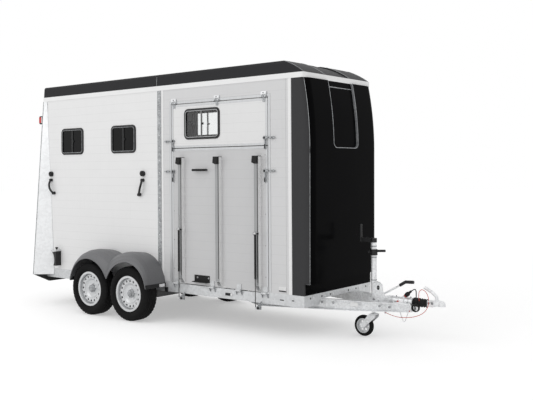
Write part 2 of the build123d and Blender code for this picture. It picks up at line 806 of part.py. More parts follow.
def latch(plane, x, y, way):
    """A lever latch on a door's face: its boss, its arm over the edge of the door and its lever."""
    with BuildPart() as piece:
        with BuildSketch(plane.offset(latch_thickness)):
            with Locations((x, y)):
                Circle(20)
            with Locations((x + way * (latch_reach / 2 - 14), y)):
                SlotOverall(latch_reach, 18)
            with Locations((x + way * 4, y - lever_length / 2)):
                SlotOverall(lever_length, 14, rotation=90)
        extrude(amount=latch_thickness)
        with BuildSketch(plane):
            with Locations((x - way * 4, y)):
                Circle(17)
        extrude(amount=latch_thickness)
    return piece.part


hinge_pieces = []
for name, place, along, outward, width, flap_top, rails, straps, flap_hinges, handle_at in door_sets:
    base = hinge_plane(place, along, outward, hinge_out, ramp_hinge_z)
    face = base.offset(panel_face)

    with BuildPart() as ramp:
        with BuildSketch(face):
            with Locations((0, (ramp_lift + ramp_length) / 2)):
                Rectangle(width, ramp_length - ramp_lift)
        extrude(amount=-ramp_thickness)
    save(ramp, f"{name}_ramp")

    with BuildPart() as metalwork:
        for x in rails:
            with BuildSketch(profile_plane(base, x)):
                Polygon((14, panel_face), (14 + rail_mitre, rail_outer), (rail_top_u, rail_outer),
                         (rail_top_u, panel_face), align=None)
            extrude(amount=rail_face / 2, both=True)
            with BuildSketch(profile_plane(base, x)):
                Polygon((0, panel_face + rail_gauge), (0, rail_outer - rail_gauge),
                         (rail_top_u + 1, rail_outer - rail_gauge), (rail_top_u + 1, panel_face + rail_gauge), align=None)
            extrude(amount=rail_face / 2 - rail_gauge, both=True, mode=Mode.SUBTRACT)
        for x in straps:
            with BuildSketch(profile_plane(base, x)):
                Polygon((8, panel_face), (strap_length, panel_face), (strap_length, panel_face + strap_thickness),
                        (16, panel_face + strap_thickness), (10, 0), (0, -12), align=None)
                Circle(knuckle_radius)
                Circle(hinge_bore, mode=Mode.SUBTRACT)
            extrude(amount=strap_width / 2, both=True)
        for way in (-1, 1):
            add(latch(face, way * (width / 2 - 30), rail_top_z - 155 - ramp_hinge_z, way))
        if name == "side":
            for x in (rails[0], rails[2]):
                for way in (-1, 1):
                    with BuildSketch(profile_plane(base, x + way * 19)):
                        with Locations((strut_pin_z - ramp_hinge_z, rail_outer + 12)):
                            Rectangle(30, 24)
                        with Locations((strut_pin_z - ramp_hinge_z, rail_outer + strut_standoff)):
                            Circle(13)
                    extrude(amount=3, both=True)
                with BuildSketch(profile_plane(base, x)):
                    with Locations((strut_pin_z - ramp_hinge_z, rail_outer + strut_standoff)):
                        Circle(strut_pin_radius)
                extrude(amount=24, both=True)
    save(metalwork, f"{name}_ramp_rails")

    with BuildPart() as fittings:
        for x in rails:
            with BuildSketch(profile_plane(base, x)):
                Polygon((rail_top_u - foot_height, rail_outer), (rail_top_u - foot_height + 14, rail_outer + foot_depth),
                         (rail_top_u + 5, rail_outer + foot_depth - 10), (rail_top_u + 5, panel_face),
                         (rail_top_u, panel_face), (rail_top_u, rail_outer), align=None)
            extrude(amount=rail_face / 2 + 2, both=True)
        handle_y = 1748 - ramp_hinge_z
        with Locations(Plane(face.origin + face.x_dir * handle_at + face.y_dir * handle_y + face.z_dir * 46,
                             x_dir=base.z_dir, z_dir=base.x_dir)):
            Cylinder(13, 196)
        for way in (-1, 1):
            with Locations(Plane(face.origin + face.x_dir * (handle_at + way * 78) + face.y_dir * handle_y,
                                 z_dir=face.z_dir)):
                Cylinder(10, 46, align=(Align.CENTER, Align.CENTER, Align.MIN))
        if name == "side":
            with BuildSketch(profile_plane(base, handle_at)):
                Polygon((44, panel_face), (120, panel_face), (120, panel_face + 6), (52, panel_face + 6),
                         (50, panel_face + 52), (44, panel_face + 52), align=None)
            extrude(amount=112, both=True)
    save(fittings, f"{name}_ramp_fittings")

    head = hinge_plane(place, along, outward, flap_hinge_out, flap_top + flap_axis_gap)
    flap_outer = head.offset(flap_face)
    flap_low = door_seam_z + seam_gap / 2 - head.origin.Z
    with BuildPart() as flap:
        with BuildSketch(flap_outer):
            with Locations((0, (flap_low - flap_axis_gap) / 2)):
                Rectangle(width, -flap_axis_gap - flap_low)
            if name == "side":
                with Locations((flap_window_x, flap_window_z - head.origin.Z)):
                    RectangleRounded(large_width - 2 * frame_lap, large_height - 2 * frame_lap,
                                     window_radius - frame_lap, mode=Mode.SUBTRACT)
        extrude(amount=-flap_thickness)
    save(flap, f"{name}_flap")

    with BuildPart() as flap_metal:
        for x in flap_hinges:
            with BuildSketch(profile_plane(head, x)):
                Polygon((-leaf_height - 6, flap_face), (-leaf_height - 6, flap_face + leaf_thickness),
                         (0, flap_face + leaf_thickness + 3), (0, flap_face), align=None)
                Circle(flap_knuckle)
                Circle(flap_pin + running_gap, mode=Mode.SUBTRACT)
            extrude(amount=leaf_width / 4, both=True)
        for way in (-1, 1):
            add(latch(flap_outer, way * (width / 2 - 30), 2080 - head.origin.Z, way))
    save(flap_metal, f"{name}_flap_fittings")

    # What stays on the body: hinge rods in their lugs, the upper hinge leaves, latch keepers
    with BuildPart() as fixed:
        for x in straps:
            for way in (-1, 1):
                with BuildSketch(profile_plane(base, x + way * (strap_width + lug_thickness + 2 * lug_gap) / 2)):
                    Polygon((-50, panel_face), (-50, panel_face + 7), (-8, 8), (0, 0), (-6, panel_face), align=None)
                    Circle(9)
                extrude(amount=lug_thickness / 2, both=True)
            with BuildSketch(profile_plane(base, x)):
                Circle(hinge_rod)
            extrude(amount=strap_width / 2 + lug_thickness + lug_gap + 2, both=True)
        for x in flap_hinges:
            with BuildSketch(profile_plane(head, x)):
                Circle(flap_pin)
            extrude(amount=leaf_width / 2 + 10, both=True)
            for way in (-1, 1):
                with BuildSketch(profile_plane(head, x + way * (leaf_width / 2 - 3))):
                    Polygon((0, flap_face), (0, flap_face + leaf_thickness + 3), (leaf_height, flap_face + leaf_thickness),
                             (leaf_height, flap_face), align=None)
                    Circle(flap_knuckle)
                extrude(amount=(leaf_width / 4 - 4) / 2 + 3, both=True)
        for way in (-1, 1):
            for z in (rail_top_z - 155, 2080):
                with BuildSketch(face):
                    with Locations((way * (width / 2 + 64), z - ramp_hinge_z)):
                        RectangleRounded(34, 30, 4)
                extrude(amount=latch_thickness - 5)
        if name == "side":
            for x in (rails[0], rails[2]):
                with BuildSketch(profile_plane(base, x + 22)):
                    Polygon((strut_foot_z - ramp_hinge_z - 26, panel_face), (strut_foot_z - ramp_hinge_z - 14, 60),
                             (strut_foot_z - ramp_hinge_z + 14, 66), (sill_bottom + 20 - ramp_hinge_z, panel_face), align=None)
                extrude(amount=2.5, both=True)
                with BuildSketch(profile_plane(base, x + 22)):
                    with Locations((strut_foot_z - ramp_hinge_z, rail_outer + strut_standoff)):
                        Circle(strut_pin_radius)
                extrude(amount=-13)
    hinge_pieces.append(fixed.part)

# The side flap's window
flap_window_plane = Plane(origin=(opening_x + flap_window_x, -half_width, flap_window_z), x_dir=(1, 0, 0), z_dir=(0, -1, 0))
with BuildPart() as flap_window_frame:
    add(window_frame(flap_window_plane, large_width, large_height, flap_thickness))
save(flap_window_frame, "flap_window_frame")

with BuildPart() as flap_window_pane:
    add(window_pane(flap_window_plane, large_width, large_height))
save(flap_window_pane, "flap_window_pane")

# Gas struts of the side ramp: a cylinder hung from each outer rail and a rod down to the sill
strut_y = -(half_width + rail_depth + strut_standoff)
for strut, x in (("rear", opening_x + door_sets[0][6][0]), ("front", opening_x + door_sets[0][6][2])):
    pin_plane = Plane(origin=(x, strut_y, strut_pin_z), x_dir=(0, -1, 0), z_dir=(1, 0, 0))
    with BuildPart() as cylinder:
        with BuildSketch(pin_plane):
            Circle(strut_radius)
        extrude(amount=10, both=True)
        with Locations((x, strut_y, strut_pin_z - cylinder_length)):
            Cylinder(strut_radius, cylinder_length - 6, align=(Align.CENTER, Align.CENTER, Align.MIN))
            Cylinder(rod_radius + running_gap, cylinder_length - 30, align=(Align.CENTER, Align.CENTER, Align.MIN),
                     mode=Mode.SUBTRACT)
        with BuildSketch(pin_plane):
            Circle(strut_pin_radius + running_gap)
        extrude(amount=20, both=True, mode=Mode.SUBTRACT)
    save(cylinder, f"strut_cylinder_{strut}")

    with BuildPart() as rod:
        with BuildSketch(Plane(origin=(x, strut_y, strut_foot_z), x_dir=(0, -1, 0), z_dir=(1, 0, 0))):
            Circle(12)
        extrude(amount=8, both=True)
        with Locations((x, strut_y, strut_foot_z + 6)):
            Cylinder(rod_radius, strut_pin_z - cylinder_length + 60 - strut_foot_z - 6,
                     align=(Align.CENTER, Align.CENTER, Align.MIN))
        with BuildSketch(Plane(origin=(x, strut_y, strut_foot_z), x_dir=(0, -1, 0), z_dir=(1, 0, 0))):
            Circle(strut_pin_radius + running_gap)
        extrude(amount=20, both=True, mode=Mode.SUBTRACT)
    save(rod, f"strut_rod_{strut}")

# Groom's door in the left wall
groom_hinge = Plane(origin=(groom_x + groom_width / 2 - 4, half_width + 14, groom_bottom + groom_height / 2),
                    x_dir=(-1, 0, 0), z_dir=(0, 1, 0))
with BuildPart() as groom_door:
    with BuildSketch(groom_hinge.offset(-14)):
        with Locations((groom_width / 2 - 4, 0)):
            RectangleRounded(groom_width - 2 * door_gap, groom_height - 2 * door_gap, 60 - door_gap)
    extrude(amount=-wall)
    for z in (-620, 0, 620):
        with BuildSketch(Plane.XY.offset(groom_hinge.origin.Z + z)):
            with Locations((groom_hinge.origin.X, groom_hinge.origin.Y)):
                Circle(9)
                with Locations((-30, -10)):
                    Rectangle(60, 8)
                Circle(hinge_rod + running_gap, mode=Mode.SUBTRACT)
        extrude(amount=22, both=True)
    with Locations((groom_x - groom_width / 2 + 60, half_width + 12, 1250)):
        Box(34, 24, 130)
save(groom_door, "groom_door")

with BuildPart() as door_hinges:
    for piece in hinge_pieces:
        add(piece)
    for z in (-620, 0, 620):
        with BuildSketch(Plane.XY.offset(groom_hinge.origin.Z + z)):
            with Locations((groom_hinge.origin.X, groom_hinge.origin.Y)):
                Circle(hinge_rod)
        extrude(amount=50, both=True)
        for way in (-1, 1):
            with BuildSketch(Plane.XY.offset(groom_hinge.origin.Z + z + way * 38)):
                with Locations((groom_hinge.origin.X + 16, half_width + 9)):
                    Rectangle(44, 18)
            extrude(amount=12, both=True)
save(door_hinges, "door_hinges")

# Overrun device: the housing between the beam tips, its flanges and foot, the wire rest and the brake rod
flange_z = beam_tip_top
rod_y = 62
plug_start = Vector(axle_x + 3408, -25, 462)
plug_way = Vector(0.77, 0, 0.64).normalized()
rod_end_x = axle_x + tandem_spacing / 2 + arm_trail + tube_side / 2 + 1

with BuildPart() as overrun_housing:
    with BuildSketch(Plane.YZ.offset(housing_rear)):
        with Locations((0, hitch_z)):
            Circle(housing_radius)
    extrude(amount=housing_front - housing_rear)
    with Locations((housing_rear + 24, 0, hitch_z)):
        Box(48, 2 * housing_radius + 8, 2 * housing_radius - 4)
    with Locations((housing_front - 95, 0, flange_z + 4)):
        Box(190, 2 * beam_end[1] + 30, 8)
    with Locations((housing_front - 85, 0, beam_tip_bottom + beam_gauge)):
        Box(150, 50, hitch_z - beam_tip_bottom - beam_gauge, align=(Align.CENTER, Align.CENTER, Align.MIN))
    with Locations(Plane(plug_start - plug_way * 26, z_dir=plug_way)):
        Cylinder(15, 26, align=(Align.CENTER, Align.CENTER, Align.MIN))
    with BuildSketch(Plane.YZ.offset(housing_front)):
        with Locations((0, hitch_z)):
            Circle(shaft_radius + running_gap)
    extrude(amount=-200, mode=Mode.SUBTRACT)
    with Locations(Plane((rod_end_x, rod_y, 300), x_dir=(0, 1, 0), z_dir=(1, 0, -0.0054))):
        Cylinder(5, housing_rear + 20 - rod_end_x, align=(Align.CENTER, Align.CENTER, Align.MIN))
    with Locations((housing_rear + 18, rod_y, 335)):
        Box(12, 20, 110)
    with Locations((housing_rear + 18, rod_y - 14, 388)):
        Box(12, 48, 20)
save(overrun_housing, "overrun_housing")

# Coupling head: a shaft into the housing, the head with its ball socket, its lever and the cable ring
ball_x = coupling_x - head_radius
ring_x = axle_x + 3688
ring_y = -52
ring_z = 440

with BuildPart() as coupling_head:
    with BuildSketch(Plane.YZ.offset(housing_front - 180)):
        with Locations((0, hitch_z)):
            Circle(shaft_radius)
    extrude(amount=head_rear + 20 - housing_front + 180)
    with BuildSketch(Plane.XZ):
        Polygon((head_rear, hitch_z - 30), (head_rear, hitch_z + 34), (ball_x - 20, hitch_z + 38),
                (ball_x, hitch_z + 30), (ball_x, hitch_z - 14), (ball_x - 60, hitch_z - 18),
                (ball_x - 80, hitch_z - 30), align=None)
    extrude(amount=head_half, both=True)
    with Locations((ball_x, 0, hitch_z)):
        Sphere(head_radius)
        Cylinder(head_radius, 18, align=(Align.CENTER, Align.CENTER, Align.MAX))
    with Locations((ball_x, 0, hitch_z - 18)):
        Box(200, 200, 100, align=(Align.CENTER, Align.CENTER, Align.MAX), mode=Mode.SUBTRACT)
    with Locations((head_rear, 0, hitch_z - 30)):
        Box(ball_x - 80 - head_rear, 2 * head_half, 20, align=(Align.MIN, Align.CENTER, Align.MIN))
    with Locations((ball_x, 0, hitch_z)):
        Sphere(ball_radius, mode=Mode.SUBTRACT)
        Cylinder(ball_radius, 60, align=(Align.CENTER, Align.CENTER, Align.MAX), mode=Mode.SUBTRACT)
    with BuildLine(mode=Mode.PRIVATE) as grip:
        FilletPolyline((axle_x + 3612, 0, 566), (axle_x + 3690, 0, 526), (axle_x + 3738, 0, 486),
                       (axle_x + 3742, 0, hitch_z + 30), radius=26)
    with BuildSketch(Plane(origin=grip.line @ 0, x_dir=(0, 1, 0), z_dir=grip.line % 0)):
        RectangleRounded(36, 30, 13)
    sweep(path=grip.line)
    with Locations((ring_x, ring_y, ring_z)):
        Torus(16, 4)
    with Locations((ring_x, ring_y / 2 - 8, ring_z - 6)):
        Box(12, 20, 12)
save(coupling_head, "coupling_head")

# Rubber bellows over the shaft
bellows_folds = 6
with BuildPart() as hitch_boot:
    pitch = (head_rear - housing_front) / bellows_folds
    with BuildSketch(Plane.XZ):
        with BuildLine():
            ridge = [(housing_front, hitch_z + 34)]
            for fold in range(bellows_folds):
                start = housing_front + fold * pitch
                ridge += [(start + pitch * 0.5, hitch_z + 48 - fold), (start + pitch, hitch_z + 37 - fold)]
            Polyline(*ridge, (head_rear, hitch_z + shaft_radius), (housing_front, hitch_z + shaft_radius), close=True)
        make_face()
    revolve(axis=Axis((0, 0, hitch_z), (1, 0, 0)))
save(hitch_boot, "hitch_boot")

# Hand brake: a toothed quadrant on the side of the housing, its lever and the grip
quadrant_y = -housing_radius - 4
brake_pivot = Vector(axle_x + 3130, 0, 446)
grip_start = Vector(axle_x + 3340, 0, 564)

with BuildPart() as handbrake:
    with BuildSketch(Plane.XZ.offset(-quadrant_y)):
        Polygon(*[(axle_x + x, z) for x, z in (
            (3074, 410), (3084, 398), (3130, 398), (3138, 374), (3186, 372), (3186, 268), (3206, 268), (3206, 430),
            (3172, 500), (3165, 560), (3140, 585), (3085, 585), (3062, 560), (3062, 420))], align=None)
    extrude(amount=8)
    with Locations(Plane((brake_pivot.X, quadrant_y, brake_pivot.Z), z_dir=(0, 1, 0))):
        Cylinder(18, -quadrant_y + 14, align=(Align.CENTER, Align.CENTER, Align.MIN))
    with Locations(Plane(brake_pivot, z_dir=grip_start - brake_pivot)):
        Cylinder(9, (grip_start - brake_pivot).length + 8, align=(Align.CENTER, Align.CENTER, Align.MIN))
    with BuildLine(mode=Mode.PRIVATE) as grip:
        FilletPolyline(grip_start, (axle_x + 3400, 0, 602), (axle_x + 3493, 0, 606), radius=40)
    with BuildSketch(Plane(origin=grip.line @ 0, z_dir=grip.line % 0)):
        Circle(16)
    sweep(path=grip.line)
save(handbrake, "handbrake")

# Jockey wheel: a tube held by a clamp at the beams, with its crank, and a swivelling fork below
tube_bottom = 256
tube_top = 985
crank_height = 44
crank_reach = 154
crank_grip = 15
crank_grip_top = 1169
collar_z = 883
swivel_pin = 10
fork_top = 246
fork_half = 41
arm_plate = 5
wheel_pin = 6
jockey_axle_x = jockey_x - jockey_trail

with BuildPart() as jockey_tube_set:
    with Locations((jockey_x, 0, tube_bottom)):
        Cylinder(jockey_leg, 130, align=(Align.CENTER, Align.CENTER, Align.MIN))
        Cylinder(swivel_pin + running_gap, 60, align=(Align.CENTER, Align.CENTER, Align.MIN), mode=Mode.SUBTRACT)
    with Locations((jockey_x, 0, 300)):
        Cylinder(jockey_tube, tube_top - 300, align=(Align.CENTER, Align.CENTER, Align.MIN))
    with Locations((jockey_x, 0, tube_top)):
        Cylinder(jockey_tube + 3, crank_height, align=(Align.CENTER, Align.CENTER, Align.MIN))
        with Locations((-crank_reach / 2, 0, 0)):
            Box(crank_reach + 16, 26, crank_height, align=(Align.CENTER, Align.CENTER, Align.MIN))
        with Locations((-crank_reach, 0, 0)):
            Cylinder(crank_grip, crank_grip_top - tube_top, align=(Align.CENTER, Align.CENTER, Align.MIN))
    with Locations((jockey_x, 0, collar_z)):
        Cylinder(38, 62)
        with Locations(Plane((0, 0, 12), z_dir=(1, 0, 0.06))):
            Cylinder(13, 132, align=(Align.CENTER, Align.CENTER, Align.MIN))
        with Locations(Plane((0, 0, 4), z_dir=(-1, 0, 0))):
            Cylinder(14, 62, align=(Align.CENTER, Align.CENTER, Align.MIN))
    with Locations((jockey_x - 2, 0, 375)):
        Box(86, 88, 90)
save(jockey_tube_set, "jockey_tube")

with BuildPart() as jockey_fork:
    for side in (-1, 1):
        with BuildSketch(Plane.XZ.offset(side * (fork_half - arm_plate / 2))):
            Polygon(*[(jockey_x + x, z) for x, z in (
                (34, fork_top), (-36, fork_top), (-146, 122), (-140, 98), (-118, 86), (-96, 98), (34, 214))], align=None)
        extrude(amount=arm_plate / 2, both=True)
    with Locations((jockey_x - 1, 0, fork_top - 3)):
        Box(70, 2 * fork_half, 6)
    with Locations((jockey_x, 0, fork_top - 6)):
        Cylinder(swivel_pin, 60, align=(Align.CENTER, Align.CENTER, Align.MIN))
    with Locations(Plane((jockey_axle_x, 0, jockey_radius), z_dir=(0, 1, 0))):
        Cylinder(wheel_pin, 2 * fork_half + 14)
save(jockey_fork, "jockey_fork")

jockey_rim_radius = 76
jockey_section = Plane(origin=(jockey_axle_x, 0, jockey_radius), x_dir=(0, 1, 0), z_dir=(1, 0, 0))
jockey_axis = Axis((jockey_axle_x, 0, jockey_radius), (0, 1, 0))
with BuildPart() as jockey_tyre:
    with BuildSketch(jockey_section):
        with BuildLine():
            Polyline((-24, jockey_rim_radius), (24, jockey_rim_radius), (28, jockey_rim_radius + 10))
            ThreePointArc((28, jockey_rim_radius + 10), (18, jockey_radius - 5), (0, jockey_radius))
            ThreePointArc((0, jockey_radius), (-18, jockey_radius - 5), (-28, jockey_rim_radius + 10))
            Line((-28, jockey_rim_radius + 10), (-24, jockey_rim_radius))
        make_face()
    revolve(axis=jockey_axis)
save(jockey_tyre, "jockey_tyre")

with BuildPart() as jockey_rim:
    with BuildSketch(jockey_section):
        Polygon((-24, jockey_rim_radius), (-24, jockey_rim_radius - 8), (-6, jockey_rim_radius - 12), (-6, 22), (-30, 20),
                (-30, wheel_pin + running_gap), (30, wheel_pin + running_gap), (30, 20), (6, 22),
                (6, jockey_rim_radius - 12), (24, jockey_rim_radius - 8), (24, jockey_rim_radius), align=None)
    revolve(axis=jockey_axis)
    with BuildSketch(Plane(origin=(jockey_axle_x, -20, jockey_radius), x_dir=(1, 0, 0), z_dir=(0, 1, 0))):
        with PolarLocations(43, 6):
            Circle(14)
    extrude(amount=40, mode=Mode.SUBTRACT)
save(jockey_rim, "jockey_rim")

# Breakaway cable: from the brake's lower arm forward under the beams, up through the ring and over
breakaway_points = (
    (3196, -55, 284), (3300, -66, 250), (3466, -80, 258), (3590, -84, 292), (3668, -72, 352),
    (3688, -58, 448), (3662, -60, 530), (3606, -64, 560), (3572, -66, 508), (3572, -40, 434),
)
with BuildPart() as breakaway_cable:
    with BuildLine(mode=Mode.PRIVATE) as cable:
        FilletPolyline(*[(axle_x + x, y, z) for x, y, z in breakaway_points], radius=22)
    with BuildSketch(Plane(origin=cable.line @ 0, z_dir=cable.line % 0)):
        Circle(3)
    sweep(path=cable.line)
save(breakaway_cable, "breakaway_cable")

# Lamp lead: the plug parked on the housing, its lead and the tied loops of spare length below the bellows
plug_back = plug_start + plug_way * 92
coil_centre = (axle_x + 3547, -73, 364)
coil_radius = 36
coil_pitch = 13
with BuildPart() as lamp_lead:
    for start, radius, length in ((0, 17, 18), (16, 21, 38), (52, 13, 40)):
        with Locations(Plane(plug_start + plug_way * start, z_dir=plug_way)):
            Cylinder(radius, length, align=(Align.CENTER, Align.CENTER, Align.MIN))
    with BuildLine(mode=Mode.PRIVATE) as lead:
        FilletPolyline(plug_back - plug_way * 6, plug_back + plug_way * 22, (axle_x + 3532, -28, 545),
                       (axle_x + 3542, -44, 480), (axle_x + 3548, -62, 402), radius=12)
    with BuildSketch(Plane(origin=lead.line @ 0, z_dir=lead.line % 0)):
        Circle(5)
    sweep(path=lead.line)
    for turn in (-1, 0, 1):
        with Locations(Plane(Vector(*coil_centre) + Vector(0, turn * coil_pitch, 0), z_dir=(0, 1, 0))):
            Torus(coil_radius, 5)
    with Locations(Vector(*coil_centre) + Vector(0, 3, coil_radius)):
        Box(16, 3 * coil_pitch + 4, 14)
save(lamp_lead, "lamp_lead")
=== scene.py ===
import math

import bpy
from mathutils import Matrix, Vector


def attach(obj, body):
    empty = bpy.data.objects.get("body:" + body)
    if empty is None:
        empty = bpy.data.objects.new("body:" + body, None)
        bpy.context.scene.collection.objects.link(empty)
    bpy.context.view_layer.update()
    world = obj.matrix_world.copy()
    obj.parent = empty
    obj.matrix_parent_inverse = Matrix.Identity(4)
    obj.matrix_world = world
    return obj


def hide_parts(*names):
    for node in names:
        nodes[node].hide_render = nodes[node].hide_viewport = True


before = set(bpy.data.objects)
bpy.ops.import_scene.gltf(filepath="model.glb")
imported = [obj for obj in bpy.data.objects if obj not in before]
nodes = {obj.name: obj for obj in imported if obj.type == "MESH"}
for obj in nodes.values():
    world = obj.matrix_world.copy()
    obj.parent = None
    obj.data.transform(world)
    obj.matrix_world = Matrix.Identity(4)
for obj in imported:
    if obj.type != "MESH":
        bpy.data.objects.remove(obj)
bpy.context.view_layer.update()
scene = bpy.context.scene

# Sizes and places shared with the CAD model, in metres. Lengths along X start at the middle of the axles
AXLE_X = -1.069
TAIL = -1.600
NOSE = 2.620
HALF = 0.660
SILL_TOP = 0.465
WALL_TOP = 2.678
RAIL_TOP = 2.733
OPENING = 1.475
OPENING_HALF = 0.700
OPENING_TOP = 2.506
CORNERS = ("front_right", "front_left", "rear_right", "rear_left")
SIDES = (-1, 1)
SIDE_NAME = {-1: "right", 1: "left"}
SIDE_RAMP, SIDE_FLAP, REAR_RAMP = "side_ramp_body", "side_flap_body", "rear_ramp_body"
AHEAD, LEFT, UP = Vector((1, 0, 0)), Vector((0, 1, 0)), Vector((0, 0, 1))


def at(x, y, z):
    """A point in the frame, with x measured from the middle of the axles."""
    return Vector((AXLE_X + x, y, z))


# Camera: the pose fitted to the photo, whose sizes and centre of view are in its own pixels
PHOTO_WIDTH, PHOTO_HEIGHT, FOCAL_LENGTH = 533, 400, 797.2
VIEW_CENTRE = (238.8, 171.8)
SENSOR_WIDTH = 36
camera_data = bpy.data.cameras.new("camera")
camera = bpy.data.objects.new("camera", camera_data)
scene.collection.objects.link(camera)
yaw, roll = math.radians(39.34), math.radians(-0.37)
forward = Vector((-math.sin(yaw), math.cos(yaw), 0))
right = Vector((math.cos(yaw), math.sin(yaw), 0))
up = Vector((0, 0, 1))
right, up = (right * math.cos(roll) + up * math.sin(roll)), (up * math.cos(roll) - right * math.sin(roll))
turn = Matrix((right, up, -forward)).transposed().to_4x4()
turn.translation = at(7.205, -7.282, 1.725)
camera.matrix_world = turn
camera_data.sensor_width = SENSOR_WIDTH
camera_data.lens = FOCAL_LENGTH / PHOTO_WIDTH * SENSOR_WIDTH
camera_data.shift_x = (PHOTO_WIDTH / 2 - VIEW_CENTRE[0]) / PHOTO_WIDTH
camera_data.shift_y = (VIEW_CENTRE[1] - PHOTO_HEIGHT / 2) / PHOTO_WIDTH
camera_data.clip_end = 400
scene.camera = camera
scene.view_settings.view_transform = "Standard"


def new_material(name):
    """A material with only its output and a Principled shader."""
    made = bpy.data.materials.new(name)
    made.use_nodes = True
    return made, made.node_tree.nodes["Principled BSDF"]


def link(owner, source, target):
    owner.node_tree.links.new(source, target)


def add_node(owner, kind, **values):
    """A node with its properties and the defaults of its named inputs set."""
    node = owner.node_tree.nodes.new(kind)
    for key, value in values.items():
        if key in node.inputs:
            node.inputs[key].default_value = value
        else:
            setattr(node, key, value)
    return node


def place_of(owner, scale=(1, 1, 1)):
    """Coordinates fixed to the piece, in metres, stretched by a scale."""
    coords = add_node(owner, "ShaderNodeTexCoord")
    mapping = add_node(owner, "ShaderNodeMapping")
    mapping.inputs["Scale"].default_value = scale
    link(owner, coords.outputs["Object"], mapping.inputs["Vector"])
    return mapping.outputs["Vector"]


def axis_of(owner, axis):
    """One coordinate of the piece, in metres."""
    coords = add_node(owner, "ShaderNodeTexCoord")
    split = add_node(owner, "ShaderNodeSeparateXYZ")
    link(owner, coords.outputs["Object"], split.inputs["Vector"])
    return split.outputs[axis]


def spread(owner, value, low, high, to_low=0.0, to_high=1.0, smooth=False):
    """A value brought from one range to another, clamped at its ends."""
    node = add_node(owner, "ShaderNodeMapRange", interpolation_type="SMOOTHSTEP" if smooth else "LINEAR")
    for key, number in (("From Min", low), ("From Max", high), ("To Min", to_low), ("To Max", to_high)):
        node.inputs[key].default_value = number
    link(owner, value, node.inputs["Value"])
    return node.outputs["Result"]


def blend_colors(owner, factor, first, second):
    """A mix of two colours, each a colour or a socket."""
    mix = add_node(owner, "ShaderNodeMix", data_type="RGBA")
    link(owner, factor, mix.inputs["Factor"])
    for key, color in (("A", first), ("B", second)):
        if isinstance(color, tuple):
            mix.inputs[key].default_value = color
        else:
            link(owner, color, mix.inputs[key])
    return mix.outputs["Result"]


def shown_to(owner):
    """1 for the rays that see a background: camera, glossy and transmission rays."""
    rays = add_node(owner, "ShaderNodeLightPath")
    last = rays.outputs["Is Camera Ray"]
    for kind in ("Is Glossy Ray", "Is Transmission Ray"):
        either = add_node(owner, "ShaderNodeMath", operation="MAXIMUM")
        link(owner, last, either.inputs[0])
        link(owner, rays.outputs[kind], either.inputs[1])
        last = either.outputs["Value"]
    return last


def noise_of(owner, where, **values):
    """A noise read at the coordinates given."""
    noise = add_node(owner, "ShaderNodeTexNoise", **values)
    link(owner, where, noise.inputs["Vector"])
    return noise.outputs["Fac"]


def relief(owner, shader, height, depth, strength=1.0):
    """Bumps the shader by a height between 0 and 1."""
    bump = add_node(owner, "ShaderNodeBump", Distance=depth, Strength=strength)
    link(owner, height, bump.inputs["Height"])
    link(owner, bump.outputs["Normal"], shader.inputs["Normal"])


def tone(color, factor):
    """A colour made lighter or darker, with its alpha."""
    return tuple(min(1.0, c * factor) for c in color[:3]) + (1.0,)


def surface(name, color, rough, metal=0.0, spec=0.5, grain=0.0, grain_scale=60.0, bump=0.0, bump_scale=200.0,
            stretch=(1, 1, 1), coat=0.0, dust=0.0, streak=0.0):
    """A surface with a broad change of tone, grain in its roughness, a fine bump, streaks and low dust."""
    made, shader = new_material(name)
    shader.inputs["Metallic"].default_value = metal
    shader.inputs["Specular IOR Level"].default_value = spec
    shader.inputs["Coat Weight"].default_value = coat
    shader.inputs["Coat Roughness"].default_value = 0.08
    where = place_of(made, stretch)
    broad = noise_of(made, where, Scale=grain_scale, Detail=4.0, Roughness=0.6)
    grained = spread(made, broad, 0.3, 0.7)
    last = blend_colors(made, grained, tone(color, 1 - grain), tone(color, 1 + grain))
    if streak:
        # Faint runs of rain water down the panel
        runs = noise_of(made, place_of(made, (9.0, 9.0, 0.35)), Scale=4.0, Detail=5.0, Roughness=0.65)
        last = blend_colors(made, spread(made, runs, 0.56, 0.80, 0.0, streak), last, tone(color, 0.62))
    if dust:
        # A little road dust low down, fading out half a metre above the floor
        fade = spread(made, axis_of(made, "Z"), 0.25, 0.80, dust, 0.0)
        last = blend_colors(made, fade, last, (0.42, 0.40, 0.37, 1.0))
    link(made, last, shader.inputs["Base Color"])
    rough_out = spread(made, broad, 0.2, 0.8, max(0.02, rough - 0.06), min(1.0, rough + 0.06))
    link(made, rough_out, shader.inputs["Roughness"])
    if bump:
        relief(made, shader, noise_of(made, where, Scale=bump_scale, Detail=3.0), bump)
    return made


def planked(name, color, pitch, first):
    """White board skin with fine grooves at a pitch up the wall."""
    made = surface(name, color, 0.36, grain=0.010, grain_scale=3.0, dust=0.05, streak=0.10)
    shader = made.node_tree.nodes["Principled BSDF"]
    shift = add_node(made, "ShaderNodeMath", operation="SUBTRACT")
    shift.inputs[1].default_value = first
    link(made, axis_of(made, "Z"), shift.inputs[0])
    back = add_node(made, "ShaderNodeMath", operation="PINGPONG")
    back.inputs[1].default_value = pitch / 2
    link(made, shift.outputs["Value"], back.inputs[0])
    groove = spread(made, back.outputs["Value"], 0.0, 0.0030, smooth=True)
    relief(made, shader, groove, 0.0008, 0.5)
    before = shader.inputs["Base Color"].links[0].from_socket
    link(made, blend_colors(made, groove, tone(color, 0.90), before), shader.inputs["Base Color"])
    return made


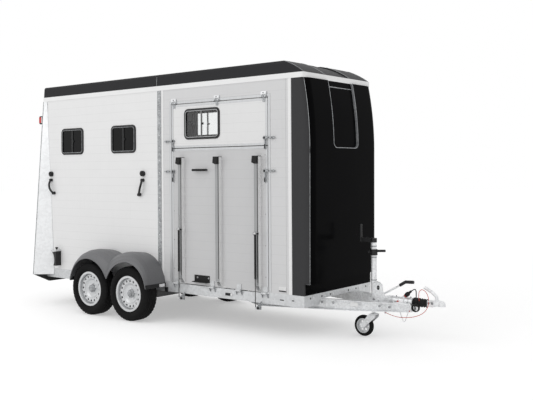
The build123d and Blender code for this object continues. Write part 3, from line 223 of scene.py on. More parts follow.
def galvanised(name, color, cell=45.0, rough=0.42, low=0.72, high=1.22):
    """Zinc coat: crystals of slightly different tone, with a dull bloom."""
    made, shader = new_material(name)
    shader.inputs["Metallic"].default_value = 0.45
    where = place_of(made)
    crystals = add_node(made, "ShaderNodeTexVoronoi", Scale=cell, Randomness=1.0)
    link(made, where, crystals.inputs["Vector"])
    split = add_node(made, "ShaderNodeSeparateColor")
    link(made, crystals.outputs["Color"], split.inputs["Color"])
    bloom = noise_of(made, where, Scale=9.0, Detail=6.0, Roughness=0.75)
    mix = add_node(made, "ShaderNodeMath", operation="MULTIPLY_ADD")
    mix.inputs[1].default_value = 0.45
    link(made, split.outputs["Red"], mix.inputs[0])
    link(made, bloom, mix.inputs[2])
    mottled = spread(made, mix.outputs["Value"], 0.35, 1.0)
    link(made, blend_colors(made, mottled, tone(color, low), tone(color, high)), shader.inputs["Base Color"])
    dull = spread(made, split.outputs["Green"], 0.0, 1.0, rough - 0.1, rough + 0.12)
    link(made, dull, shader.inputs["Roughness"])
    return made


def lens(name, color):
    """A lamp lens: glossy, with fine upright ribs below its surface."""
    made = surface(name, color, 0.16, grain=0.10, grain_scale=70.0, coat=0.5)
    shader = made.node_tree.nodes["Principled BSDF"]
    ribs = add_node(made, "ShaderNodeTexWave", bands_direction="Y", Scale=55.0, Distortion=0.0)
    link(made, place_of(made), ribs.inputs["Vector"])
    relief(made, shader, ribs.outputs["Fac"], 0.0008, 0.6)
    return made


def glassy(name, color, rough=0.03, through=1.0):
    """Tinted acrylic with a faint waviness; through is the share that isn't smoked."""
    made, shader = new_material(name)
    shader.inputs["Base Color"].default_value = (*color, 1)
    shader.inputs["Transmission Weight"].default_value = through
    shader.inputs["IOR"].default_value = 1.45
    shader.inputs["Specular IOR Level"].default_value = 0.05
    haze = noise_of(made, place_of(made), Scale=5.0, Detail=3.0)
    link(made, spread(made, haze, 0.3, 0.7, rough, rough + 0.05), shader.inputs["Roughness"])
    return made


white_planks = planked("white_planks", (0.86, 0.86, 0.86), 0.100, 0.465)
front_planks = planked("front_planks", (0.70, 0.70, 0.705), 0.100, 0.465)
white_plain = planked("white_plain", (0.62, 0.62, 0.625), 0.100, 0.452)
white_flap = planked("white_flap", (0.82, 0.82, 0.82), 0.100, 0.452)
white_rail = surface("white_rail", (0.90, 0.90, 0.90), 0.32, grain=0.02, grain_scale=5.0, bump=0.0001,
                     bump_scale=300.0)
white_fitting = surface("white_fitting", (0.88, 0.88, 0.88), 0.3, grain=0.015, grain_scale=30.0)
aluminium = surface("aluminium", (0.62, 0.63, 0.64), 0.34, metal=0.4, grain=0.05, grain_scale=30.0,
                    stretch=(1, 1, 0.05))
rail_metal = surface("rail_metal", (0.36, 0.365, 0.37), 0.30, metal=0.35, grain=0.12, grain_scale=14.0,
                     stretch=(1, 1, 0.10))
joint_grey = surface("joint_grey", (0.52, 0.52, 0.52), 0.6, grain=0.1, grain_scale=40.0)
zinc = galvanised("zinc", (0.64, 0.65, 0.66), low=0.88, high=1.08)
zinc_mid = galvanised("zinc_mid", (0.36, 0.37, 0.38), cell=70.0, low=0.55, high=1.35)
zinc_bright = galvanised("zinc_bright", (0.84, 0.85, 0.86), cell=60.0, rough=0.38, low=0.80, high=1.12)
portal_zinc = galvanised("portal_zinc", (0.90, 0.91, 0.92), cell=35.0, rough=0.40, low=0.93, high=1.06)
gloss_black = surface("gloss_black", (0.003, 0.003, 0.0033), 0.20, spec=0.012, grain=0.1, grain_scale=2.0,
                      bump=0.00004, bump_scale=30.0)
dark_strip = surface("dark_strip", (0.035, 0.035, 0.037), 0.6, spec=0.25, grain=0.12, grain_scale=140.0,
                     bump=0.0005, bump_scale=420.0)
roof_skin = surface("roof_skin", (0.016, 0.016, 0.018), 0.55, spec=0.2, grain=0.15, grain_scale=120.0,
                    bump=0.0004, bump_scale=380.0)
fender_skin = surface("fender_skin", (0.155, 0.156, 0.162), 0.46, spec=0.45, grain=0.08, grain_scale=90.0,
                      bump=0.0003, bump_scale=500.0)
black_plastic = surface("black_plastic", (0.012, 0.012, 0.013), 0.42, spec=0.35, grain=0.1, grain_scale=80.0,
                        bump=0.0001, bump_scale=600.0)
rubber = surface("rubber", (0.016, 0.016, 0.016), 0.70, spec=0.25, grain=0.15, grain_scale=60.0, bump=0.0002,
                 bump_scale=400.0)
tyre_rubber = surface("tyre_rubber", (0.0085, 0.0085, 0.009), 0.70, spec=0.06, grain=0.2, grain_scale=40.0,
                      bump=0.0002, bump_scale=300.0, dust=0.012)
rim_paint = surface("rim_paint", (0.66, 0.67, 0.68), 0.36, metal=0.35, grain=0.03, grain_scale=40.0)
dark_steel = surface("dark_steel", (0.10, 0.10, 0.10), 0.55, metal=0.3, grain=0.25, grain_scale=30.0)
strut_black = surface("strut_black", (0.010, 0.010, 0.011), 0.35, spec=0.2, grain=0.1, grain_scale=60.0)
ply_floor = surface("ply_floor", (0.10, 0.085, 0.07), 0.7, grain=0.3, grain_scale=8.0, stretch=(0.15, 1, 1))
pane_glass = glassy("pane_glass", (0.006, 0.0062, 0.0065), through=0.3)
clear_pane = glassy("clear_pane", (0.95, 0.96, 0.96), 0.0)
padding = surface("padding", (0.02, 0.02, 0.021), 0.6, grain=0.1, grain_scale=50.0, bump=0.0006,
                  bump_scale=250.0)
cable_red = surface("cable_red", (0.55, 0.06, 0.04), 0.4, grain=0.08, grain_scale=300.0)
red_lens = lens("red_lens", (0.55, 0.02, 0.015))
amber_lens = lens("amber_lens", (0.75, 0.25, 0.02))
clear_lens = lens("clear_lens", (0.85, 0.85, 0.86))
mesh_mat = surface("mesh_mat", (0.020, 0.020, 0.020), 0.75, spec=0.2, grain=0.2, grain_scale=25.0,
                   bump=0.0015, bump_scale=90.0)

# The finish of each CAD node
finish_of = {
    "chassis_frame": zinc, "floor_board": ply_floor, "drawbar": zinc_bright, "axles": dark_steel,
    "fenders": fender_skin, "rear_walls": white_planks, "front_wall_right": front_planks,
    "front_wall_left": front_planks, "seam_posts": zinc_mid, "nose_shell": gloss_black,
    "nose_corners": dark_strip, "cant_rail": white_rail, "roof": roof_skin, "rear_portal": portal_zinc,
    "rear_bumper": black_plastic, "lamps": red_lens, "window_frames": black_plastic,
    "window_panes": pane_glass, "wall_fittings": black_plastic, "stall_bars": zinc, "partition": padding,
    "door_hinges": zinc, "overrun_housing": zinc_bright,
    "coupling_head": zinc_bright, "hitch_boot": rubber, "handbrake": zinc_bright, "jockey_tube": zinc_bright,
    "side_ramp": white_plain, "side_ramp_rails": rail_metal, "side_ramp_fittings": rubber,
    "side_flap": white_flap, "side_flap_fittings": zinc_mid, "flap_window_frame": black_plastic,
    "flap_window_pane": clear_pane,
    "rear_ramp": white_plain, "rear_ramp_rails": rail_metal, "rear_ramp_fittings": rubber,
    "rear_flap": white_flap, "rear_flap_fittings": zinc, "groom_door": white_plain,
    "strut_cylinder_rear": strut_black,
    "strut_cylinder_front": strut_black, "strut_rod_rear": dark_steel, "strut_rod_front": dark_steel,
    "jockey_fork": zinc_bright, "jockey_tyre": tyre_rubber, "jockey_rim": rim_paint,
    **{f"rim_{c}": rim_paint for c in CORNERS},
}
for name, finish in finish_of.items():
    nodes[name].data.materials.clear()
    nodes[name].data.materials.append(finish)


def paint(node, finish, test):
    """Gives another finish to the faces of a CAD node whose centre and normal pass the test."""
    mesh = nodes[node].data
    if finish.name not in mesh.materials:
        mesh.materials.append(finish)
    index = mesh.materials.find(finish.name)
    for face in mesh.polygons:
        centre = face.center.copy()
        centre.x -= AXLE_X
        if test(centre, face.normal):
            face.material_index = index


class Shape:
    """Points and faces gathered for one piece."""

    def __init__(self):
        self.points, self.faces, self.smooth = [], [], []

    def add(self, points, faces, smooth=False):
        """Adds points, and faces that count from the first of them."""
        start = len(self.points)
        self.points += [tuple(p) for p in points]
        self.faces += [tuple(start + i for i in face) for face in faces]
        self.smooth += [smooth] * len(faces)

    def box(self, low, high):
        """An upright box between two points."""
        xs, ys, zs = ((min(a, b), max(a, b)) for a, b in zip(low, high))
        self.slab(Vector((xs[0], ys[0], zs[0])), AHEAD * (xs[1] - xs[0]), LEFT * (ys[1] - ys[0]),
                  UP * (zs[1] - zs[0]))

    def slab(self, corner, u, v, w):
        """A box from one corner along three edges."""
        points = [corner + u * i + v * j + w * k for k in (0, 1) for j in (0, 1) for i in (0, 1)]
        faces = [(0, 2, 3, 1), (4, 5, 7, 6), (0, 1, 5, 4), (2, 6, 7, 3), (0, 4, 6, 2), (1, 3, 7, 5)]
        if u.cross(v).dot(w) < 0:
            faces = [face[::-1] for face in faces]
        self.add(points, faces)

    def lathe(self, origin, axis, profile, sides=32, smooth=True, closed=False, wobble=None):
        """A profile of (along, radius) pairs turned about an axis; wobble cuts into it step by step."""
        axis = Vector(axis).normalized()
        across = axis.orthogonal().normalized()
        other = axis.cross(across)
        points = []
        for step in range(sides):
            angle = 2 * math.pi * step / sides
            way = across * math.cos(angle) + other * math.sin(angle)
            for index, (along, radius) in enumerate(profile):
                cut = wobble(step, index) if wobble else 0.0
                points.append(Vector(origin) + axis * along + way * (radius - cut))
        count = len(profile)
        faces = []
        for step in range(sides):
            here, there = step * count, (step + 1) % sides * count
            for i in range(count if closed else count - 1):
                j = (i + 1) % count
                faces.append((here + i, there + i, there + j, here + j))
        if not closed:
            faces.append(tuple(step * count for step in reversed(range(sides))))
            faces.append(tuple(step * count + count - 1 for step in range(sides)))
        self.add(points, faces, smooth)

    def stud(self, place, out, radius, height, sides=12):
        """A domed bolt or rivet head standing on a face."""
        self.lathe(place, out, [(-0.001, radius), (height * 0.45, radius), (height * 0.8, radius * 0.8),
                                (height, radius * 0.4)], sides)

    def bolt(self, place, out, radius, height):
        """A six-sided head on its washer."""
        self.lathe(place, out, [(-0.001, radius * 1.45), (height * 0.2, radius * 1.45)], 16)
        self.lathe(place, out, [(height * 0.2, radius), (height * 0.9, radius), (height, radius * 0.85)],
                   6, False)

    def tube(self, path, radius, sides=8, up=(0, 0, 1)):
        """A round bar along a path."""
        path = [Vector(p) for p in path]
        rings = []
        for i, point in enumerate(path):
            way = (path[min(i + 1, len(path) - 1)] - path[max(i - 1, 0)]).normalized()
            side = way.cross(Vector(up))
            side = side.normalized() if side.length > 1e-4 else way.orthogonal().normalized()
            lift = side.cross(way)
            for step in range(sides):
                angle = 2 * math.pi * step / sides
                rings.append(point + side * math.cos(angle) * radius + lift * math.sin(angle) * radius)
        faces = []
        for i in range(len(path) - 1):
            for step in range(sides):
                a, b = i * sides + step, i * sides + (step + 1) % sides
                faces.append((a, b, b + sides, a + sides))
        faces.append(tuple(reversed(range(sides))))
        faces.append(tuple(range((len(path) - 1) * sides, len(path) * sides)))
        self.add(rings, faces, True)

    def ring(self, centre, u, v, out, outer, inner, low, high):
        """A flat ring between two outlines of the same count, from one height to another."""
        centre, u, v, out = Vector(centre), Vector(u), Vector(v), Vector(out)
        count = len(outer)
        points = [centre + u * a + v * b + out * h
                  for h in (low, high) for line in (outer, inner) for a, b in line]
        faces = []
        for i in range(count):
            j = (i + 1) % count
            faces += [(i, j, 2 * count + j, 2 * count + i),
                      (2 * count + i, 2 * count + j, 3 * count + j, 3 * count + i),
                      (3 * count + i, 3 * count + j, count + j, count + i),
                      (count + i, count + j, j, i)]
        if u.cross(v).dot(out) < 0:
            faces = [face[::-1] for face in faces]
        self.add(points, faces)

    def piece(self, name, finish, body="trailer", bevel=0.0):
        """Makes the piece, gives it its finish and lets it ride on a body."""
        mesh = bpy.data.meshes.new(name)
        mesh.from_pydata(self.points, [], self.faces)
        mesh.polygons.foreach_set("use_smooth", self.smooth)
        mesh.update()
        made = bpy.data.objects.new(name, mesh)
        scene.collection.objects.link(made)
        mesh.materials.append(finish)
        if bevel:
            round_edges(made, bevel)
        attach(made, body)
        return made


def round_edges(made, width):
    """Breaks sharp edges by a small round that catches the light."""
    soft = made.modifiers.new("edges", "BEVEL")
    soft.width = width
    soft.segments = 2
    soft.limit_method = "ANGLE"
    soft.angle_limit = math.radians(50)
    soft.use_clamp_overlap = True


def rounded(width, height, radius, steps=6):
    """The outline of a rounded rectangle about its centre."""
    line = []
    for quarter, (sx, sy) in enumerate(((1, 1), (-1, 1), (-1, -1), (1, -1))):
        for step in range(steps + 1):
            angle = math.pi / 2 * (quarter + step / steps)
            line.append((sx * (width / 2 - radius) + radius * math.cos(angle),
                         sy * (height / 2 - radius) + radius * math.sin(angle)))
    return line


def band(width, radius, lip, edge=0.002):
    """The profile of a turned band whose edges drop by a lip."""
    return [(0, radius - lip), (edge, radius), (width - edge, radius), (width, radius - lip)]


def nose_front(z):
    """How far forward the nose stands at a height, on the centreline."""
    foot, shoulder, brow = (NOSE + 0.088, 0.585), (NOSE + 0.097, 1.950), (NOSE + 0.027, WALL_TOP)
    if z < foot[1]:
        return NOSE
    way = Vector((shoulder[0] - foot[0], shoulder[1] - foot[1])).normalized()
    if z <= shoulder[1]:
        return foot[0] + (z - foot[1]) * way.x / way.y
    inward = Vector((-way.y, way.x))
    chord = Vector((brow[0] - shoulder[0], brow[1] - shoulder[1]))
    radius = chord.length_squared / (2 * chord.dot(inward))
    centre = Vector(shoulder) + inward * radius
    return centre.x + math.sqrt(radius ** 2 - (z - centre.y) ** 2)


def roof_front(steps=8):
    """Points of the roof's front slope, from its foot to the brow."""
    a, b, c = (Vector(p) for p in ((NOSE - 0.004, RAIL_TOP), (NOSE - 0.190, 2.842), (NOSE - 0.420, 2.905)))
    d = 2 * (a.x * (b.y - c.y) + b.x * (c.y - a.y) + c.x * (a.y - b.y))
    squares = [p.length_squared for p in (a, b, c)]
    centre = Vector(((squares[0] * (b.y - c.y) + squares[1] * (c.y - a.y) + squares[2] * (a.y - b.y)) / d,
                     (squares[0] * (c.x - b.x) + squares[1] * (a.x - c.x) + squares[2] * (b.x - a.x)) / d))
    radius = (a - centre).length
    first, last = (math.atan2(p.y - centre.y, p.x - centre.x) for p in (a, c))
    return [(centre.x + radius * math.cos(first + (last - first) * i / steps),
             centre.y + radius * math.sin(first + (last - first) * i / steps)) for i in range(steps + 1)]


# Edge rounds on the straight-edged CAD pieces, each with its width
for name, width in (("side_ramp", 0.002), ("rear_ramp", 0.002), ("side_flap", 0.002), ("rear_flap", 0.002),
                    ("cant_rail", 0.003), ("rear_portal", 0.002), ("drawbar", 0.0015),
                    ("chassis_frame", 0.0015),
                    ("seam_posts", 0.0015), ("rear_bumper", 0.002), ("side_ramp_rails", 0.001),
                    ("rear_ramp_rails", 0.001), ("side_ramp_fittings", 0.002), ("rear_ramp_fittings", 0.002),
                    ("door_hinges", 0.001), ("handbrake", 0.001), ("groom_door", 0.002),
                    ("jockey_fork", 0.001)):
    round_edges(nodes[name], width)

# Finishes of parts of CAD nodes, told apart by the centre and normal of a face
LATCH_Z = 1.733
paint("handbrake", black_plastic, lambda c, n: c.x > 3.338 and c.z > 0.545)
paint("jockey_tube", black_plastic, lambda c, n: c.z > 0.984 or 0.849 < c.z < 0.918)
paint("lamps", clear_lens, lambda c, n: 0 < c.x < 1.0)
paint("lamps", black_plastic, lambda c, n: c.x > 1.0 or c.z > 2.0)
paint("rear_portal", zinc_mid, lambda c, n: TAIL + 0.001 < c.x < TAIL + 0.017)
# Painted highlight: the walls of the nose's recess in a lighter grey
paint("nose_shell", zinc_mid, lambda c, n: abs(n.x) < 0.25 and 1.970 < c.z < 2.670 and abs(c.y) < 0.2405
      and c.x > NOSE - 0.02)
paint("fenders", black_plastic, lambda c, n: abs(c.x) > 0.6585 and c.z < 0.447)
for way in ("rear", "front"):
    paint(f"strut_cylinder_{way}", zinc_bright, lambda c, n: c.z > 1.066)
    paint(f"strut_rod_{way}", zinc_bright, lambda c, n: c.z < 0.3125)
paint("window_panes", clear_pane, lambda c, n: c.y > 0 and c.z > 2.2)
# Painted shade: the faces of these fittings that face forward or down, and the upright sides of the ones at
# the rear, in darker zinc
for name in ("side_flap_fittings", "rear_flap_fittings", "door_hinges"):
    paint(name, zinc_mid,
          lambda c, n: n.x > 0.5 or n.z < -0.5 or abs(n.z) < 0.9 and abs(n.y) < 0.5 and c.x < 0)
# Painted highlight: the forward faces of the ramp rails in white
for name in ("side_ramp_rails", "rear_ramp_rails"):
    paint(name, white_flap, lambda c, n: n.x > 0.5)
    paint(name, zinc, lambda c, n: c.z < 0.53)
    paint(name, zinc_mid, lambda c, n: abs(c.z - LATCH_Z) < 0.14 and (
        abs(c.x - OPENING) > 0.59 and c.x > 0 or abs(c.y) > 0.48 and c.x < 0))
paint("wall_fittings", white_rail, lambda c, n: c.x < -1.2 and 0.70 < c.z < 0.73 and n.z > 0.7)

# Tyres: grooved treads with cut shoulders and rings on the sidewalls, as (along, radius) pairs
half_tyre = [(0.0745, 0.1905), (0.0745, 0.2070), (0.0775, 0.2110), (0.0860, 0.2190), (0.0905, 0.2225),
             (0.0920, 0.2225), (0.0950, 0.2360), (0.0966, 0.2370), (0.0974, 0.2620), (0.0974, 0.2680),
             (0.0962, 0.2850), (0.0948, 0.2865), (0.0930, 0.2940), (0.0865, 0.3035), (0.0770, 0.3125),
             (0.0570, 0.3166), (0.0465, 0.3170), (0.0455, 0.3100), (0.0385, 0.3100), (0.0375, 0.3170),
             (0.0150, 0.3170), (0.0140, 0.3100), (0.0075, 0.3100), (0.0065, 0.3170)]
tyre_line = half_tyre + [(-along, radius) for along, radius in reversed(half_tyre)]
# Depth of the cross grooves at the points of the shoulder
lug_cut = {12: 0.002, 13: 0.005, 14: 0.006, 15: 0.006, 16: 0.006}


def lugs(step, index):
    """The cross grooves: every third step of the shoulders is cut."""
    return lug_cut.get(min(index, len(tyre_line) - 1 - index), 0.0) if step % 3 == 0 else 0.0


WHEEL_Z, WHEEL_Y, TANDEM = 0.317, 0.870, 0.687
for corner in CORNERS:
    station = 1 if corner.startswith("front") else -1
    side = -1 if corner.endswith("right") else 1
    hub = at(station * TANDEM / 2, side * WHEEL_Y, WHEEL_Z)
    out = LEFT * side
    body = f"wheel_{corner}"
    tyre = Shape()
    tyre.lathe(hub, out, tyre_line, sides=126, closed=True, wobble=lugs)
    made = tyre.piece(f"tread_{corner}", tyre_rubber, body)
    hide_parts(f"tyre_{corner}")
    cap = Shape()
    cap.lathe(hub, out, [(0.049, 0.036), (0.052, 0.0375), (0.058, 0.0370), (0.064, 0.031), (0.067, 0.018)])
    cap.lathe(hub, out, [(0.0215, 0.049), (0.0265, 0.049), (0.0275, 0.047), (0.0275, 0.037)], 40)
    cap.piece(f"hub_cap_{corner}", zinc_mid, body)
    bolts = Shape()
    for number in range(5):
        angle = math.radians(18 + 72 * number)
        place = hub + Vector((math.cos(angle), 0, math.sin(angle))) * 0.0615 + out * 0.0225
        bolts.bolt(place, out, 0.0095, 0.015)
    bolts.piece(f"wheel_bolts_{corner}", zinc_bright, body)
    valve = Shape()
    spoke = Vector((0.6, 0, 0.8))
    valve.lathe(hub + spoke * 0.178 + out * 0.030, out - spoke * 0.25,
                [(0, 0.006), (0.022, 0.0045), (0.023, 0.004), (0.036, 0.004)], 12)
    valve.piece(f"valve_{corner}", rubber, body)
    steps = Shape()
    for radius, along, thick in ((0.1680, 0.0492, 0.0024), (0.1215, 0.0452, 0.0020)):
        steps.lathe(hub, out, [(along - 0.002, radius - thick), (along + thick * 0.4, radius - thick * 0.5),
                               (along + thick * 0.4, radius + thick * 0.5), (along - 0.002, radius + thick)],
                    64, closed=True)
    steps.piece(f"rim_steps_{corner}", rim_paint, body)

# Fenders: a rolled lip along both arches, and the bolts of their ends
FENDER_OUTER, FENDER_HALF, FENDER_FOOT, FENDER_VALLEY, FENDER_TOP = 0.988, 0.664, 0.408, 0.474, 0.694
ARC_STEPS = 14
for side in SIDES:
    lip, ends = Shape(), Shape()
    for way in SIDES:
        top_x = way * TANDEM / 2
        path = []
        for end_x, end_z in ((way * FENDER_HALF, FENDER_FOOT), (0.0, FENDER_VALLEY)):
            run, drop = end_x - top_x, FENDER_TOP - end_z
            radius = (run ** 2 + drop ** 2) / (2 * drop)
            sweep = math.copysign(math.atan2(abs(run), radius - drop), run)
            arc = [(top_x + radius * math.sin(sweep * i / ARC_STEPS),
                    FENDER_TOP - radius + radius * math.cos(sweep * i / ARC_STEPS))
                   for i in range(ARC_STEPS + 1)]
            path = arc[::-1] if not path else path + arc[1:]
        lip.tube([at(x, side * (FENDER_OUTER - 0.003), z - 0.004) for x, z in path], 0.0065, 10, up=(0, 1, 0))
        for y in (0.69, 0.82, 0.95):
            ends.stud(at(way * (FENDER_HALF + 0.005), side * y, 0.434), (way, 0, 0), 0.005, 0.003)
    lip.piece(f"fender_lip_{SIDE_NAME[side]}", fender_skin)
    ends.piece(f"fender_studs_{SIDE_NAME[side]}", black_plastic)

# Walls: the joint strips, their gaps and rivets, and the frame round the side opening
for side in SIDES:
    label = SIDE_NAME[side]
    trim, shadow, dots = Shape(), Shape(), Shape()
    for low, high, proud in ((0.618, 0.646, 0.004), (2.430, 2.470, 0.003)):
        trim.box(at(low, side * (HALF - 0.001), SILL_TOP), at(high, side * (HALF + proud), WALL_TOP))
    for x in (0.6135, 2.4020, 2.4285):
        shadow.box(at(x - 0.0015, side * (HALF - 0.001), SILL_TOP),
                   at(x + 0.0015, side * (HALF + 0.0008), WALL_TOP))
    trim.piece(f"joint_strips_{label}", white_fitting, bevel=0.001)
    shadow.piece(f"joint_gaps_{label}", joint_grey)
    for count in range(15):
        dots.stud(at(0.580, side * (HALF + 0.003), 0.56 + count * 0.145), (0, side, 0), 0.006, 0.0025)
    dots.piece(f"seam_rivets_{label}", zinc_bright)

frame_strip, frame_gap = Shape(), Shape()
rear_end, front_end = OPENING - OPENING_HALF, OPENING + OPENING_HALF
for low, high, thick, shape in ((0.002, 0.030, 0.003, frame_strip), (0.030, 0.0335, 0.0006, frame_gap)):
    for x0, x1 in ((rear_end - high, rear_end - low), (front_end + low, front_end + high)):
        shape.box(at(x0, -(HALF - 0.001), SILL_TOP), at(x1, -(HALF + thick), OPENING_TOP + high))
    shape.box(at(rear_end - low, -(HALF - 0.001), OPENING_TOP + low),
              at(front_end + low, -(HALF + thick), OPENING_TOP + high))
frame_strip.piece("opening_frame", aluminium, bevel=0.0008)
frame_gap.piece("opening_frame_gap", joint_grey)

# Rear portal: a folded bright edge at its front, and rivets down its rear face
PORTAL_FOOT, PORTAL_FOOT_Y, PORTAL_TOP_Y = 0.386, 0.854, 0.668
edge, rivets = Shape(), Shape()
for side in SIDES:
    edge.tube([at(TAIL + 0.207, side * (HALF + 0.002), PORTAL_FOOT),
               at(TAIL + 0.077, side * (HALF + 0.002), WALL_TOP)], 0.004)
    for count in range(11):
        z = 0.60 + count * 0.19
        climb = (z - PORTAL_FOOT) / (WALL_TOP - PORTAL_FOOT)
        y = PORTAL_FOOT_Y + (PORTAL_TOP_Y - PORTAL_FOOT_Y) * climb
        rivets.stud(at(TAIL, side * (y - 0.022), z), (-1, 0, 0), 0.005, 0.0025)
edge.piece("portal_edges", zinc_bright)
rivets.piece("portal_rivets", zinc_bright)

# Windows: a bevel line inside each frame, the joint of its sliding panes and their catch
# Each has its body, side, place, width and height, and the finishes of its bead and pane edges
small, large = (0.442, 0.340), (0.532, 0.346)
windows = [("trailer", -1, -1.002, 2.131, small, zinc_mid, dark_steel),
           ("trailer", -1, -0.036, 2.131, small, zinc_mid, dark_steel),
           ("trailer", 1, -1.002, 2.131, small, zinc_mid, dark_steel),
           ("trailer", 1, 0.165, 2.365, large, zinc_mid, dark_steel),
           (SIDE_FLAP, -1, OPENING - 0.227, 2.266, large, aluminium, white_rail)]
for number, (body, side, x, z, (width, height), bead_finish, edge_finish) in enumerate(windows):
    centre, out = at(x, side * HALF, z), LEFT * side
    bead = Shape()
    bead.ring(centre, AHEAD, UP, out, rounded(width - 0.046, height - 0.046, 0.035),
              rounded(width - 0.055, height - 0.055, 0.0305), 0.0095, 0.0122)
    bead.piece(f"window_bead_{number}", bead_finish, body)
    line = Shape()
    for offset in (-0.0105, 0.0085):
        line.box(centre + AHEAD * offset + UP * (height / 2 - 0.030) + out * 0.006,
                 centre + AHEAD * (offset + 0.002) - UP * (height / 2 - 0.030) + out * 0.0092)
    line.piece(f"pane_edges_{number}", edge_finish, body)
    catch = Shape()
    catch.box(centre + AHEAD * 0.010 - UP * 0.012 + out * 0.004,
              centre + AHEAD * 0.032 + UP * 0.012 + out * 0.013)
    catch.piece(f"pane_catch_{number}", black_plastic, body, bevel=0.003)

# Roof: thin grey lines along the front slope and across the side
slope = roof_front()
roof_line_shape = Shape()
for y, reach, radius in ((0.628, 6, 0.0028), (0.2425, 7, 0.0032)):
    for side in SIDES:
        roof_line_shape.tube([at(x, side * y, z + 0.0005) for x, z in slope[:reach]], radius, 6)
for side in SIDES:
    roof_line_shape.tube([at(0.535, side * (HALF - 0.0035), RAIL_TOP), at(0.535, side * (HALF - 0.0110), 2.842)],
               0.0028, 6)
roof_line_shape.piece("roof_lines", zinc_mid)

# Nose: a painted highlight as a light line beside each corner strip and a short one at its foot, and a
# painted highlight as a bead round the recess, with a bar across its top as a painted reflection
nose_highlight_lines, bead = Shape(), Shape()
heights = [0.586 + (WALL_TOP - 0.586) * i / 24 for i in range(25)]
for side in SIDES:
    nose_highlight_lines.tube([at(nose_front(z) - 0.0320, side * 0.6395, z) for z in heights], 0.0028, 6)
    nose_highlight_lines.box(at(NOSE - 0.03, side * 0.640, 0.5815), at(NOSE + 0.050, side * 0.570, 0.5845))
nose_highlight_lines.piece("nose_highlight_lines", zinc_mid)
# Painted highlight round the recess as a bead, and a painted reflection as a bar across its top
path = [(-0.243, 2.672 - 0.0645 * i) for i in range(11)]
path += [(-0.185 - 0.058 * math.cos(a), 2.030 - 0.058 * math.sin(a)) for a in
         [math.pi / 2 * i / 6 for i in range(1, 7)]]
path += [(-y, z) for y, z in reversed(path)]
bead.tube([at(nose_front(z) + 0.0005, y, z) for y, z in path], 0.0035, 8, up=(1, 0, 0))
bead.tube([at(nose_front(2.612) - 0.0215, y, 2.612) for y in (-0.236, 0.0, 0.236)], 0.005, 6)
bead.piece("recess_painted_highlight", zinc_mid)

# Side ramp: edge profiles, black strips of painted shade down the rails, screws and the bolts of its step
RAMP_HALF = OPENING_HALF - 0.007
RAMP_FOOT, RAMP_TOP = 0.461, 1.994
FLAP_LOW, FLAP_TOP = 2.002, 2.499
RAILS, RAIL_DEPTH = (-0.525, 0.033, 0.575), 0.050
# The way out of the right wall
OUTWARD = (0, -1, 0)
face = -(HALF + 0.0002)


def edge_profiles(name, body, low, high, gap_low, gap_high, strips):
    """Bright edges of a door of the side opening: two uprights, strips from the heights given, and gaps."""
    profile, gap = Shape(), Shape()
    for way in SIDES:
        outer, inner = OPENING + way * (RAMP_HALF - 0.001), OPENING + way * (RAMP_HALF - 0.026)
        profile.box(at(outer, face + 0.003, low), at(inner, face - 0.0022, high))
        gap.box(at(inner, face + 0.003, gap_low), at(inner - way * 0.0022, face - 0.0004, gap_high))
    for z in strips:
        profile.box(at(OPENING - RAMP_HALF + 0.026, face + 0.003, z),
                    at(OPENING + RAMP_HALF - 0.026, face - 0.0022, z + 0.025))
    profile.piece(f"{name}_edges", aluminium, body, bevel=0.0008)
    gap.piece(f"{name}_edge_gaps", joint_grey, body)


edge_profiles("ramp", SIDE_RAMP, RAMP_FOOT, RAMP_TOP - 0.001, RAMP_FOOT, RAMP_TOP - 0.026, [RAMP_TOP - 0.026])
groove, screws = Shape(), Shape()
for rail in RAILS:
    x, front = OPENING + rail, -(HALF + RAIL_DEPTH)
    # Painted shade: a black strip down the outer face of each rail
    groove.box(at(x + 0.0130, front + 0.001, 0.56), at(x + 0.0215, front - 0.0006, 1.81))
    for count in range(6):
        screws.stud(at(x, front, 0.60 + count * 0.235), OUTWARD, 0.006, 0.0025)
for x in (OPENING - 0.298, OPENING - 0.134):
    screws.stud(at(x, -(HALF + 0.006), 0.545), OUTWARD, 0.011, 0.006)
for x in (OPENING - 0.66, OPENING + 0.66):
    for z in (0.62, 0.95, 1.28, 1.61, 1.90):
        screws.stud(at(x, face - 0.0005, z), OUTWARD, 0.0055, 0.0025)
groove.piece("rail_shade_strips", black_plastic, SIDE_RAMP)
screws.piece("ramp_screws", rail_metal, SIDE_RAMP)

# Latches: a dark hub, two bolts and a grip on each, and bolts on their keepers
for label, z, body in (("ramp", LATCH_Z, SIDE_RAMP), ("flap", 2.080, SIDE_FLAP)):
    hubs, keeper = Shape(), Shape()
    for way in SIDES:
        x, keeper_x = OPENING + way * (RAMP_HALF - 0.030), OPENING + way * (RAMP_HALF + 0.074)
        for reach, radius, height in ((0, 0.0125, 0.006), (0.055, 0.0055, 0.004), (0.100, 0.0055, 0.004)):
            hubs.stud(at(x + way * reach, -(HALF + 0.020), z), OUTWARD, radius, height)
        hubs.box(at(x + way * 0.004 - 0.006, -(HALF + 0.0195), z - 0.115),
                 at(x + way * 0.004 + 0.006, -(HALF + 0.0225), z - 0.070))
        for dz in (-0.010, 0.010):
            keeper.stud(at(keeper_x, -(HALF + 0.005), z + dz), OUTWARD, 0.004, 0.003)
    hubs.piece(f"latch_hubs_{label}", black_plastic, body)
    keeper.piece(f"keeper_bolts_{label}", black_plastic)

# Hinge covers above the side flap, each with a bolt
covers, cover_bolts = Shape(), Shape()
for x in (OPENING - 0.650, OPENING, OPENING + 0.650):
    covers.box(at(x - 0.036, -(HALF + 0.001), 2.534), at(x + 0.036, -(HALF + 0.016), 2.566))
    cover_bolts.stud(at(x, -(HALF + 0.016), 2.550), OUTWARD, 0.007, 0.004)
covers.piece("flap_hinge_covers", zinc_bright, bevel=0.003)
cover_bolts.piece("flap_hinge_bolts", black_plastic)

